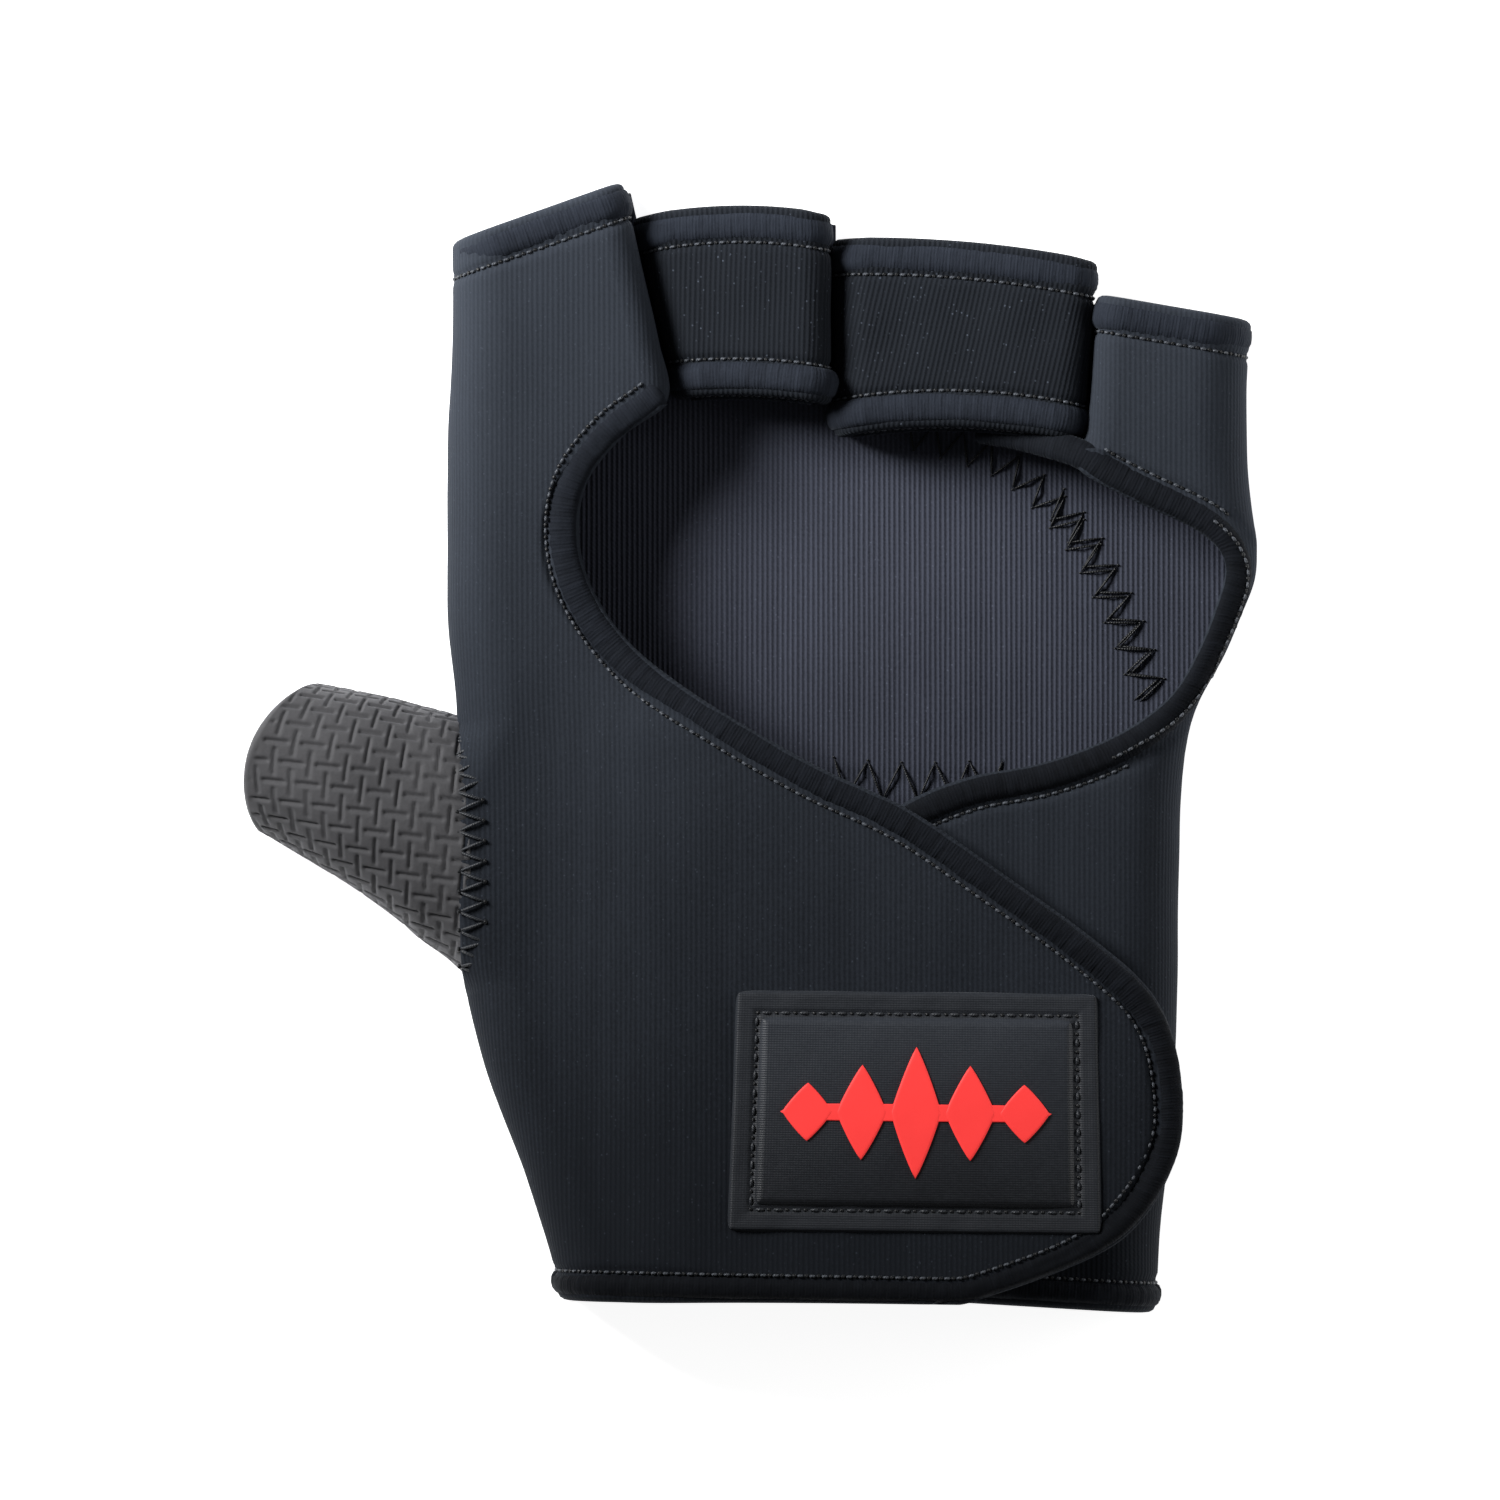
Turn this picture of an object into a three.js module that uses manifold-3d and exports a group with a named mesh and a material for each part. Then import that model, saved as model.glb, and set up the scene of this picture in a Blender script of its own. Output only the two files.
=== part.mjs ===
// Right-hand half-finger fitness glove of ribbed neoprene, lying palm down on its flat palm.
// Millimetres, +Z up. The fingers point along +Y and the thumb leaves towards -X.
// The origin is the centre of the footprint, on the surface that the palm rests on.
import * as THREE from 'three';
import { mergeVertices } from 'three/addons/utils/BufferGeometryUtils.js';
import Module from 'manifold-3d';

// Driving sizes
const LENGTH = 145.6; // index finger hem to wrist hem
const WIDTH = 131.6; // thumb mouth to the little finger's edge
const WALL = 2.5; // neoprene of the back
const PALM_WALL = 2.5;
const THUMB_WALL = 2.0;
const HAND_ROOM = 10.5; // clear height between the palm's lining and the back
const FINGER_ROOM = 9.5; // clear height inside the middle and ring bands
const GAP = 0.3; // clearance between neighbouring pieces
const TAPE = 0.6; // thickness of the folded binding tape on each side of a wall
const BINDING_WIDTH = 3.6;
const SIDE_RADIUS = 8.0; // rounding of the back where it turns down to the palm
const FOLD_RADIUS = 3.6; // rounding of a finger loop's sharp side
const EDGE_DIP = 0.3; // how far a free edge curls down
const BAND_LEAN = 3.0; // how much lower a band's far shoulder lies than its fold
const STRAP_DROOP = 2.2; // how far the strap's end follows the side down
const PALM_CHAMFER = 0.9;
const WRIST_BOW = 1.6; // how far the palm's wrist edge curves in
const HOOK_PAD_THICKNESS = 1.2;
const HOOK_PAD_LENGTH = 28.0;
const HOOK_PAD_WIDTH = 23.0;
const LABEL_LENGTH = 47.6;
const LABEL_WIDTH = 31.2;
const LABEL_THICKNESS = 0.8;
const LABEL_MARGIN = 4.2; // flat border round the raised middle
const CUSHION_THICKNESS = 1.0;
const MOTIF_THICKNESS = 0.4;
const MOTIF_LENGTH = 35.0;
const MOTIF_HEIGHT = 17.0;
const MOTIF_BAR = 2.2; // height of the bar that joins the motif's diamonds
const MOTIF_DIAMONDS = 5;

// Heights that follow from the sizes
const SEAM_Z = PALM_WALL + GAP;
const BACK_TOP = PALM_WALL + HAND_ROOM + WALL;
const STRAP_TOP = BACK_TOP + GAP + HOOK_PAD_THICKNESS + GAP + WALL;
const BAND_TOP = PALM_WALL + FINGER_ROOM + WALL;
const FINGER_CLEARANCE = 2 * TAPE + GAP;

// Table columns: x as a share of WIDTH, y as a share of LENGTH, and the outer rounding as a
// share of SIDE_RADIUS. stand is 1 where the inner side comes down to the palm, 0 at a free edge.
// outer is the glove's own edge, inner the finger's fold or the edge of the opening.
const COLUMNS = ['outerX', 'outerY', 'innerX', 'innerY', 'rounding', 'stand'];

// Sections of the back panel, from the index finger's hem to the wrist
const BACK_ROWS = table(COLUMNS, [
  [-0.2956, 0.4464, -0.1215, 0.5000, 0.81, 1],
  [-0.2948, 0.3846, -0.1060, 0.4320, 0.88, 1],
  [-0.2948, 0.3297, -0.0889, 0.3640, 0.94, 1],
  [-0.2971, 0.2816, -0.0798, 0.3125, 1.00, 1],
  [-0.2986, 0.2370, -0.1277, 0.2775, 1.00, 0],
  [-0.2986, 0.1957, -0.1641, 0.2335, 1.00, 0],
  [-0.2979, 0.1511, -0.1695, 0.1786, 1.00, 0],
  [-0.2964, 0.1065, -0.1482, 0.1271, 1.00, 0],
  [-0.2903, 0.0481, -0.1011, 0.0769, 1.00, 0],
  [-0.2872, -0.0137, -0.0228, 0.0295, 1.00, 0],
  [-0.2834, -0.0824, 0.0646, -0.0158, 1.00, 0],
  [-0.2827, -0.1511, 0.1558, -0.0549, 1.00, 0],
  [-0.2804, -0.2060, 0.2470, -0.1113, 1.00, 0],
  [-0.2640, -0.2713, 0.3343, -0.1683, 1.00, 0],
  [-0.2420, -0.3297, 0.3974, -0.2218, 1.00, 0],
  [-0.2211, -0.3777, 0.4215, -0.2885, 1.00, 0],
  [-0.2052, -0.4190, 0.4164, -0.3640, 1.00, 0],
  [-0.1945, -0.4533, 0.3685, -0.4258, 1.00, 0],
  [-0.1900, -0.4835, 0.2584, -0.4900, 1.00, 0],
]);
const BACK_CROTCH = 3; // the row at which the opening's free edge begins

// Sections of the little finger's panel, from its hem to the wrist
const LITTLE_ROWS = table(COLUMNS, [
  [0.4932, 0.3791, 0.3404, 0.4025, 0.88, 1],
  [0.4886, 0.3228, 0.3359, 0.3434, 0.88, 1],
  [0.4901, 0.2679, 0.3245, 0.2850, 0.88, 1],
  [0.4924, 0.2335, 0.3161, 0.2514, 0.88, 0],
  [0.4954, 0.2060, 0.3746, 0.2232, 0.75, 0],
  [0.4985, 0.1820, 0.4422, 0.1937, 0.50, 0],
  [0.4962, 0.1511, 0.4681, 0.1648, 0.40, 0],
  [0.4833, 0.1202, 0.4574, 0.1236, 0.40, 0],
  [0.4635, 0.0838, 0.4384, 0.0824, 0.40, 0],
  [0.4407, 0.0412, 0.4119, 0.0453, 0.42, 0],
  [0.4293, 0.0034, 0.3609, 0.0124, 0.75, 0],
  [0.4248, -0.0446, 0.2888, -0.0124, 1.00, 0],
  [0.4233, -0.0962, 0.2128, -0.0261, 1.00, 0],
  [0.4217, -0.1511, 0.1444, -0.0536, 1.00, 0],
  [0.4210, -0.2060, 0.0912, -0.1030, 1.00, 0],
  [0.4179, -0.2679, 0.0760, -0.1923, 1.00, 0],
  [0.4134, -0.3365, 0.0760, -0.2885, 1.00, 0],
  [0.4065, -0.4121, 0.0760, -0.3846, 1.00, 0],
  [0.3982, -0.5000, 0.0760, -0.4800, 1.00, 0],
]);
const LITTLE_CROTCH = 2;
const LITTLE_BINDING_END = 13.5; // the row, under the strap, at which the binding stops
// How steeply the little side's binding stands, in degrees, for each row of LITTLE_ROWS
const LITTLE_ROLL = [0, 0, 0, 0, 8, 35, 62, 66, 66, 50, 15, 0, 0, 0, 0, 0, 0, 0, 0];

// Bands over the middle and ring fingers: y of the hem and of the lower edge at both sides and
// their bulge, as shares of LENGTH, and x of the fold, as a share of WIDTH
const BAND_ROWS = table(
  ['hemLeft', 'hemRight', 'lowLeft', 'lowRight', 'hemBulge', 'lowBulge', 'foldHem', 'foldLow'],
  [
    [0.4740, 0.4710, 0.3220, 0.3160, 0.0060, 0.0050, 0.0790, 0.0800],
    [0.4550, 0.4290, 0.2950, 0.2880, 0.0065, 0.0110, 0, 0],
  ],
);

// Sections of the thumb stall, from the hand to its mouth: both sides in plan, the height as a
// share of BACK_TOP and the bulge of the section in plan, as a share of LENGTH
const THUMB_ROWS = table(['upperX', 'upperY', 'lowerX', 'lowerY', 'height', 'bulge'], [
  [-0.2888, 0.0261, -0.2804, -0.2115, 1.00, 0.000],
  [-0.3366, 0.0419, -0.3298, -0.1655, 1.04, 0.006],
  [-0.3875, 0.0536, -0.3997, -0.1181, 1.05, 0.014],
  [-0.4286, 0.0598, -0.4863, -0.0714, 0.98, 0.032],
]);
const THUMB_TIP_ROUNDING = 0.7; // exponent of the mouth's bulge: less is rounder
const THUMB_FULLNESS = 2.6; // exponent of the stall's rounded section

// Where the label and the hook pad sit on the strap
const LABEL_X = 0.1625 * WIDTH;
const LABEL_Y = -0.3245 * LENGTH;
const LABEL_TURN = -0.6;

// How the back rises from the hand's height to the strap's, as shares of WIDTH and LENGTH
const RISE_START_X = -0.228 * WIDTH;
const RISE_END_X = -0.046 * WIDTH;
const RISE_START_Y = 0.137 * LENGTH;
const RISE_END_Y = 0;
const DROOP_START_X = 0.357 * WIDTH;
const DROOP_REACH = 0.068 * WIDTH;

function table(columns, rows) {
  return rows.map((row) => Object.fromEntries(columns.map((name, i) => [name, row[i]])));
}

function clamp(value, low, high) {
  return Math.min(Math.max(value, low), high);
}

function smooth(share) {
  const t = clamp(share, 0, 1);
  return t * t * (3 - 2 * t);
}

function mix(a, b, share) {
  return a + (b - a) * share;
}

// A smooth curve through one column of numbers, read at row t
function through(values, t) {
  const i = clamp(Math.floor(t), 0, values.length - 2);
  const f = t - i;
  const at = (k) => values[clamp(k, 0, values.length - 1)];
  const [a, b, c, d] = [at(i - 1), at(i), at(i + 1), at(i + 2)];
  const square = 2 * a - 5 * b + 4 * c - d;
  const cube = 3 * b - a - 3 * c + d;
  return 0.5 * (2 * b + (c - a) * f + square * f * f + cube * f * f * f);
}

function column(rows, name) {
  return rows.map((row) => row[name]);
}

function range(from, to, steps) {
  return Array.from({ length: steps + 1 }, (_, i) => mix(from, to, i / steps));
}

// Height of the back's outer face: level over the hand, higher where the strap lies on top
function backHeight(x, y) {
  const across = smooth((x - RISE_START_X) / (RISE_END_X - RISE_START_X));
  const down = smooth((RISE_START_Y - y) / (RISE_START_Y - RISE_END_Y));
  const droop = Math.max(0, x - DROOP_START_X) / DROOP_REACH;
  return BACK_TOP + (STRAP_TOP - BACK_TOP) * across * down - STRAP_DROOP * droop * droop;
}

function levelHeight() {
  return BACK_TOP;
}

// One side of a section: straight up from endZ, then an arc over to the top.
// Gives [inward, z, normal inward, normal z] for each step, from the end to the top.
function sideProfile(topZ, endZ, radius, steps) {
  const drop = Math.max(topZ - endZ, 0.02);
  const angle = drop >= radius ? Math.PI / 2 : Math.acos(1 - drop / radius);
  const tail = Math.max(drop - radius, 0);
  return range(0, tail + radius * angle, steps).map((length) => {
    if (length < tail) return [0, endZ + length, -1, 0];
    const phi = angle - (length - tail) / radius;
    const inward = radius * (Math.sin(angle) - Math.sin(phi));
    return [inward, topZ - radius * (1 - Math.cos(phi)), -Math.sin(phi), Math.cos(phi)];
  });
}

// The plan point at a share of the way from a section's left end to its right end
function planPoint({ left, right, bulge = 0 }, share) {
  const span = Math.hypot(right.x - left.x, right.y - left.y);
  const bow = bulge * 4 * share * (1 - share) / span;
  return [
    mix(left.x, right.x, share) - (right.y - left.y) * bow,
    mix(left.y, right.y, share) + (right.x - left.x) * bow,
  ];
}

// A section in the upright plane through two plan points. spec holds left and right (each with
// x, y, radius and endZ), bulge, height(x, y) and lean. Gives points with outward normals.
function section(spec, sideSteps, topSteps) {
  const { left, right, height } = spec;
  const span = Math.hypot(right.x - left.x, right.y - left.y);
  const along = [(right.x - left.x) / span, (right.y - left.y) / span];
  const plan = (s) => planPoint(spec, s / span);
  const topAt = (s) => {
    const [x, y] = plan(s);
    return height(x, y) - (spec.lean ?? 0) * (1 - smooth(s / span));
  };
  const leftSide = sideProfile(topAt(left.radius), left.endZ, left.radius, sideSteps);
  const rightTop = topAt(span - right.radius);
  const rightSide = sideProfile(rightTop, right.endZ, right.radius, sideSteps).reverse();
  const from = leftSide[sideSteps][0];
  const to = span - rightSide[0][0];
  const flat = [];
  const leftOff = leftSide[sideSteps][1] - topAt(from);
  const rightOff = rightSide[0][1] - topAt(to);
  for (const share of range(0, 1, topSteps).slice(1, -1)) {
    const s = mix(from, to, share);
    const slope = topAt(s + 0.5) - topAt(s - 0.5);
    const size = Math.hypot(slope, 1);
    flat.push([s, topAt(s) + mix(leftOff, rightOff, share), -slope / size, 1 / size]);
  }
  const profile = [
    ...leftSide,
    ...flat,
    ...rightSide.map(([inward, z, ns, nz]) => [span - inward, z, -ns, nz]),
  ];
  return profile.map(([s, z, ns, nz]) => {
    const [x, y] = plan(s);
    return { point: [x, y, z], normal: [along[0] * ns, along[1] * ns, nz] };
  });
}

// Places and roundings of a panel's section at row t
function panelSpec(rows, t, height, outerSide) {
  const read = (name) => through(column(rows, name), t);
  const outer = { x: read('outerX') * WIDTH, y: read('outerY') * LENGTH };
  const inner = { x: read('innerX') * WIDTH, y: read('innerY') * LENGTH };
  const stand = clamp(read('stand'), 0, 1);
  const towards = outerSide === 'left' ? -1 : 1;
  inner.x += towards * stand * FINGER_CLEARANCE / 2;
  outer.radius = read('rounding') * SIDE_RADIUS;
  outer.endZ = outerSide === 'left' ? thumbSeamZ(outer.y) : SEAM_Z;
  inner.radius = FOLD_RADIUS;
  const span = Math.hypot(outer.x - inner.x, outer.y - inner.y);
  const free = mix(EDGE_DIP, Math.min(EDGE_DIP, 0.05 * span), smooth((8 - span) / 4));
  inner.endZ = mix(height(inner.x, inner.y) - free, SEAM_Z, smooth(stand));
  outer.radius = Math.min(outer.radius, 0.86 * span);
  const [left, right] = outerSide === 'left' ? [outer, inner] : [inner, outer];
  return { left, right, height };
}

// The wall under a narrow binding reaches further in than its edge, and is trimmed there
function widened(spec, side, least) {
  const fixed = side === 'left' ? spec.right : spec.left;
  const moved = { ...spec[side] };
  const [dx, dy] = [moved.x - fixed.x, moved.y - fixed.y];
  const span = Math.hypot(dx, dy);
  if (span >= least) return spec;
  moved.x = fixed.x + dx / span * least;
  moved.y = fixed.y + dy / span * least;
  const rounded = { ...fixed, radius: Math.max(fixed.radius, 1.4 * WALL) };
  return side === 'left' ? { ...spec, left: moved, right: rounded } : { ...spec, left: rounded, right: moved };
}

// The seam where the thumb stall meets the hand: an arch over the stall's first section
function thumbSeamZ(y) {
  const upper = THUMB_ROWS[0].upperY * LENGTH;
  const lower = THUMB_ROWS[0].lowerY * LENGTH;
  const share = Math.abs(y - (upper + lower) / 2) / ((upper - lower) / 2);
  if (share >= 1) return SEAM_Z;
  const arch = (1 - share ** THUMB_FULLNESS) ** (1 / THUMB_FULLNESS);
  return mix(SEAM_Z, BACK_TOP - EDGE_DIP / 4, arch);
}

// A closed solid from a list of corner positions and a list of triangles, faces outward
function solid(positions, triangles) {
  const geometry = new THREE.BufferGeometry();
  geometry.setAttribute('position', new THREE.Float32BufferAttribute(positions.flat(), 3));
  let volume = 0;
  for (const [a, b, c] of triangles) {
    const [p, q, r] = [a, b, c].map((k) => new THREE.Vector3(...positions[k]));
    volume += p.dot(q.cross(r));
  }
  const turned = volume < 0 ? triangles.map(([a, b, c]) => [a, c, b]) : triangles;
  geometry.setIndex(turned.flat());
  return geometry;
}

function quad(a, b, c, d) {
  return [[a, b, c], [a, c, d]];
}

// A wall: outer sections offset inward by its thickness, closed along all four edges
function wallSolid(sections, thickness) {
  const across = sections[0].length;
  const outer = sections.flat().map(({ point }) => point);
  const inner = sections.flat().map(({ point, normal }) => point.map((v, k) => v - normal[k] * thickness));
  const count = outer.length;
  const triangles = [];
  for (let j = 0; j < sections.length - 1; j += 1) {
    for (let i = 0; i < across - 1; i += 1) {
      const a = j * across + i;
      triangles.push(...quad(a, a + 1, a + across + 1, a + across));
      triangles.push(...quad(count + a, count + a + across, count + a + across + 1, count + a + 1));
    }
    const left = j * across;
    const right = left + across - 1;
    triangles.push(...quad(left, left + across, count + left + across, count + left));
    triangles.push(...quad(right, count + right, count + right + across, right + across));
  }
  const last = (sections.length - 1) * across;
  for (let i = 0; i < across - 1; i += 1) {
    triangles.push(...quad(i, count + i, count + i + 1, i + 1));
    triangles.push(...quad(last + i, last + i + 1, count + last + i + 1, count + last + i));
  }
  return solid([...outer, ...inner], triangles);
}

// A bar along stations, each with a point on the wall's outer face, inward (into the wall, along
// it) and normal (out of the wall). outline lists [inward, outward] corners of the bar, and no
// corner lies below floor.
function barSolid(stations, outline, closed, floor = 0) {
  const sides = outline.length;
  const positions = stations.flatMap(({ point, inward, normal }) => outline.map(([a, b]) => {
    const [x, y, z] = point.map((v, k) => v + inward[k] * a + normal[k] * b);
    return [x, y, Math.max(z, floor)];
  }));
  const triangles = [];
  const loops = closed ? stations.length : stations.length - 1;
  for (let j = 0; j < loops; j += 1) {
    const next = (j + 1) % stations.length;
    for (let i = 0; i < sides; i += 1) {
      const k = (i + 1) % sides;
      triangles.push(...quad(j * sides + i, j * sides + k, next * sides + k, next * sides + i));
    }
  }
  if (!closed) {
    const last = (stations.length - 1) * sides;
    for (let i = 1; i < sides - 1; i += 1) {
      triangles.push([0, i + 1, i]);
      triangles.push([last, last + i, last + i + 1]);
    }
  }
  return solid(positions, triangles);
}

// The folded tape's section round a wall, and the larger one that makes room for it
function tapeOutline(wall) {
  const round = 0.9;
  const [low, high] = [-wall - TAPE, TAPE];
  return [
    [0, low + round], [0, high - round], [round, high], [BINDING_WIDTH - round / 2, high],
    [BINDING_WIDTH, high - round / 2], [BINDING_WIDTH, low + round / 2],
    [BINDING_WIDTH - round / 2, low], [round, low],
  ];
}

function roomOutline(wall) {
  const [low, high] = [-wall - TAPE - GAP, 3 * TAPE];
  const outside = -BINDING_WIDTH;
  const inside = BINDING_WIDTH + GAP;
  return [[outside, low], [outside, high], [inside, high], [inside, low]];
}

// Points with none closer than a least step to the one before it
function thinned(points, least) {
  const kept = [points[0]];
  for (const point of points) {
    const [x, y, z] = kept[kept.length - 1];
    if (Math.hypot(point[0] - x, point[1] - y, point[2] - z) >= least) kept.push(point);
  }
  return kept;
}

// Frames along a bound edge. inwardSide is 1 or -1: the side of the travel on which the wall
// lies. roll tips the inward direction down, in degrees.
function edgeStations(points, inwardSide, rolls, closed) {
  const count = points.length;
  const at = (i) => (closed ? points[(i + count) % count] : points[clamp(i, 0, count - 1)]);
  let held = null;
  const flats = points.map((_, i) => {
    const travel = new THREE.Vector3(...at(i + 1)).sub(new THREE.Vector3(...at(i - 1)));
    const flat = new THREE.Vector3(-travel.y, travel.x, 0).multiplyScalar(inwardSide);
    if (flat.length() > 0.45 * travel.length()) held = flat.normalize();
    return { travel: travel.normalize(), flat: held };
  });
  const first = flats.find(({ flat }) => flat).flat;
  return flats.map(({ travel, flat }, i) => {
    const roll = THREE.MathUtils.degToRad(rolls ? rolls[i] : 0);
    const level = (flat ?? first).clone();
    const inward = level.multiplyScalar(Math.cos(roll)).add(new THREE.Vector3(0, 0, -Math.sin(roll)));
    inward.addScaledVector(travel, -inward.dot(travel)).normalize();
    const normal = new THREE.Vector3().crossVectors(travel, inward).multiplyScalar(inwardSide);
    return { point: points[i], inward: inward.toArray(), normal: normal.toArray() };
  });
}

// Both ends of a run of stations carried on by a reach, to clear the bar's end faces too
function lengthened(stations, reach) {
  const carry = (from, towards) => {
    const way = from.point.map((v, k) => v - towards.point[k]);
    const size = Math.hypot(...way);
    return { ...from, point: from.point.map((v, k) => v + way[k] / size * reach) };
  };
  const last = stations.length - 1;
  return [
    carry(stations[0], stations[1]),
    ...stations,
    carry(stations[last], stations[last - 1]),
  ];
}

// Frames over a finger's arch, its sides carried down to endZ
function archStations(spec, inward, endZ) {
  const low = (side) => ({ ...side, endZ });
  const arch = section({ ...spec, left: low(spec.left), right: low(spec.right) }, 5, 9);
  return arch.map(({ point, normal }) => ({ point, normal, inward }));
}

// Frames round a finger's mouth: over the arch, down both sides and under along the floor
function mouthStations(spec, inward) {
  const depth = WALL + TAPE;
  const clear = depth + 0.1;
  const cornerInset = 0.5;
  const arch = archStations(spec, inward, clear);
  const first = arch[0].point;
  const last = arch[arch.length - 1].point;
  const span = Math.hypot(last[0] - first[0], last[1] - first[1]);
  const along = [(last[0] - first[0]) / span, (last[1] - first[1]) / span];
  const at = (s, z) => [first[0] + along[0] * s, first[1] + along[1] * s, z];
  const under = range(clear, span - clear, 6).reverse().map((s) => ({ point: at(s, 0), normal: [0, 0, -1] }));
  // A corner's normal is cut so that its inner point is where the inner faces of both sides meet
  const tip = (depth - cornerInset) / depth;
  const corner = (s, side) => ({
    point: at(s, cornerInset), normal: [side * tip * along[0], side * tip * along[1], -tip],
  });
  const below = [corner(span - cornerInset, 1), ...under, corner(cornerInset, -1)];
  return [...arch, ...below.map(({ point, normal }) => ({ point, normal, inward }))];
}

let wasm = null;
const STATION = 1.2; // least step along a bound edge
const SLIVER = 0.008; // faces thinner than this, left where a cut grazes a corner, are dropped

// A closed geometry as a solid that can be cut and joined
function asManifold(geometry) {
  const bare = geometry.clone();
  bare.deleteAttribute('normal');
  bare.deleteAttribute('uv');
  const merged = mergeVertices(bare, 1e-4);
  return new wasm.Manifold(new wasm.Mesh({
    numProp: 3,
    vertProperties: new Float32Array(merged.attributes.position.array),
    triVerts: new Uint32Array(merged.index.array),
  }));
}

function asGeometry(manifold) {
  const mesh = manifold.getMesh();
  const geometry = new THREE.BufferGeometry();
  geometry.setAttribute('position', new THREE.BufferAttribute(new Float32Array(mesh.vertProperties), 3));
  geometry.setIndex(new THREE.BufferAttribute(new Uint32Array(mesh.triVerts), 1));
  return geometry;
}

function cut(geometry, rooms) {
  const left = rooms.reduce((rest, room) => rest.subtract(asManifold(room)), asManifold(geometry));
  const bodies = left.decompose();
  bodies.sort((a, b) => b.volume() - a.volume());
  return asGeometry(bodies[0].simplify(SLIVER));
}

function joined(geometries) {
  return asGeometry(geometries.map(asManifold).reduce((all, one) => all.add(one)));
}

// A flat plate from a plan outline, its lower rim chamfered
function palmPlate(outline, thickness) {
  const count = outline.length;
  const inset = (distance) => outline.map((_, i) => {
    const before = outline[(i + count - 1) % count];
    const after = outline[(i + 1) % count];
    const way = new THREE.Vector2(after[0] - before[0], after[1] - before[1]).normalize();
    return [outline[i][0] - way.y * distance, outline[i][1] + way.x * distance];
  });
  const layers = [[inset(PALM_CHAMFER), 0], [outline, PALM_CHAMFER], [outline, thickness]];
  const positions = layers.flatMap(([ring, z]) => ring.map(([x, y]) => [x, y, z]));
  const faces = THREE.ShapeUtils.triangulateShape(outline.map(([x, y]) => new THREE.Vector2(x, y)), []);
  const triangles = [];
  for (const [a, b, c] of faces) {
    triangles.push([a, c, b]);
    triangles.push([2 * count + a, 2 * count + b, 2 * count + c]);
  }
  for (let layer = 0; layer < 2; layer += 1) {
    for (let i = 0; i < count; i += 1) {
      const k = (i + 1) % count;
      const base = layer * count;
      triangles.push(...quad(base + i, base + k, base + count + k, base + count + i));
    }
  }
  return solid(positions, triangles);
}

function extruded(shape, z, depth) {
  const geometry = new THREE.ExtrudeGeometry(shape, { depth, bevelEnabled: false, curveSegments: 5 });
  geometry.translate(0, 0, z);
  return geometry;
}

function roundedOblong(length, width, radius) {
  const shape = new THREE.Shape();
  const [x, y] = [length / 2, width / 2];
  shape.moveTo(-x + radius, -y);
  shape.lineTo(x - radius, -y);
  shape.quadraticCurveTo(x, -y, x, -y + radius);
  shape.lineTo(x, y - radius);
  shape.quadraticCurveTo(x, y, x - radius, y);
  shape.lineTo(-x + radius, y);
  shape.quadraticCurveTo(-x, y, -x, y - radius);
  shape.lineTo(-x, -y + radius);
  shape.quadraticCurveTo(-x, -y, -x + radius, -y);
  return shape;
}

function piece(name, geometry, colour, roughness) {
  const material = new THREE.MeshStandardMaterial({ color: colour, roughness, metalness: 0 });
  const mesh = new THREE.Mesh(geometry, material);
  mesh.name = name;
  return mesh;
}

wasm = await Module();
wasm.setup();

const NEOPRENE = 0x2e333a;
const BINDING = 0x24282e;
const GRIP = 0x4c4c50;
const LABEL_CLOTH = 0x1d2126;
const RED = 0xf24040;

const backAt = (t) => panelSpec(BACK_ROWS, t, backHeight, 'left');
const littleAt = (t) => panelSpec(LITTLE_ROWS, t, levelHeight, 'right');
const lastBack = BACK_ROWS.length - 1;
const lastLittle = LITTLE_ROWS.length - 1;

// Points of a panel's inner edge, between two rows
function innerEdge(specAt, side, from, to, steps) {
  return range(from, to, steps).map((t) => {
    const end = specAt(t)[side];
    return [end.x, end.y, end.endZ];
  });
}

// x at a given y along a run of edge points whose y falls
function edgeX(points, y) {
  const k = clamp(points.findIndex((point) => point[1] <= y), 1, points.length - 1);
  const [a, b] = [points[k - 1], points[k]];
  return mix(a[0], b[0], (y - a[1]) / (b[1] - a[1]));
}

const indexFold = innerEdge(backAt, 'right', 0, BACK_CROTCH, 12);
const littleFold = innerEdge(littleAt, 'left', 0, LITTLE_CROTCH, 12);

// A band's section at share t from its hem to its lower edge
function bandSpec(row, t, leftX, foldX) {
  const left = { y: mix(row.hemLeft, row.lowLeft, t) * LENGTH, radius: 1.4 * FOLD_RADIUS, endZ: SEAM_Z };
  const right = { y: mix(row.hemRight, row.lowRight, t) * LENGTH, radius: FOLD_RADIUS, endZ: SEAM_Z };
  left.x = leftX(left.y);
  right.x = foldX(right.y, t);
  const bulge = mix(row.hemBulge, row.lowBulge, t) * LENGTH;
  return { left, right, bulge, lean: BAND_LEAN, height: () => BAND_TOP };
}

const middleFoldX = (t) => mix(BAND_ROWS[0].foldHem, BAND_ROWS[0].foldLow, t) * WIDTH;
const middleAt = (t) => bandSpec(
  BAND_ROWS[0], t, (y) => edgeX(indexFold, y) + FINGER_CLEARANCE, (_, share) => middleFoldX(share),
);
const ringAt = (t) => bandSpec(
  BAND_ROWS[1], t, () => middleFoldX(t) + FINGER_CLEARANCE, (y) => edgeX(littleFold, y) - FINGER_CLEARANCE,
);

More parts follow.
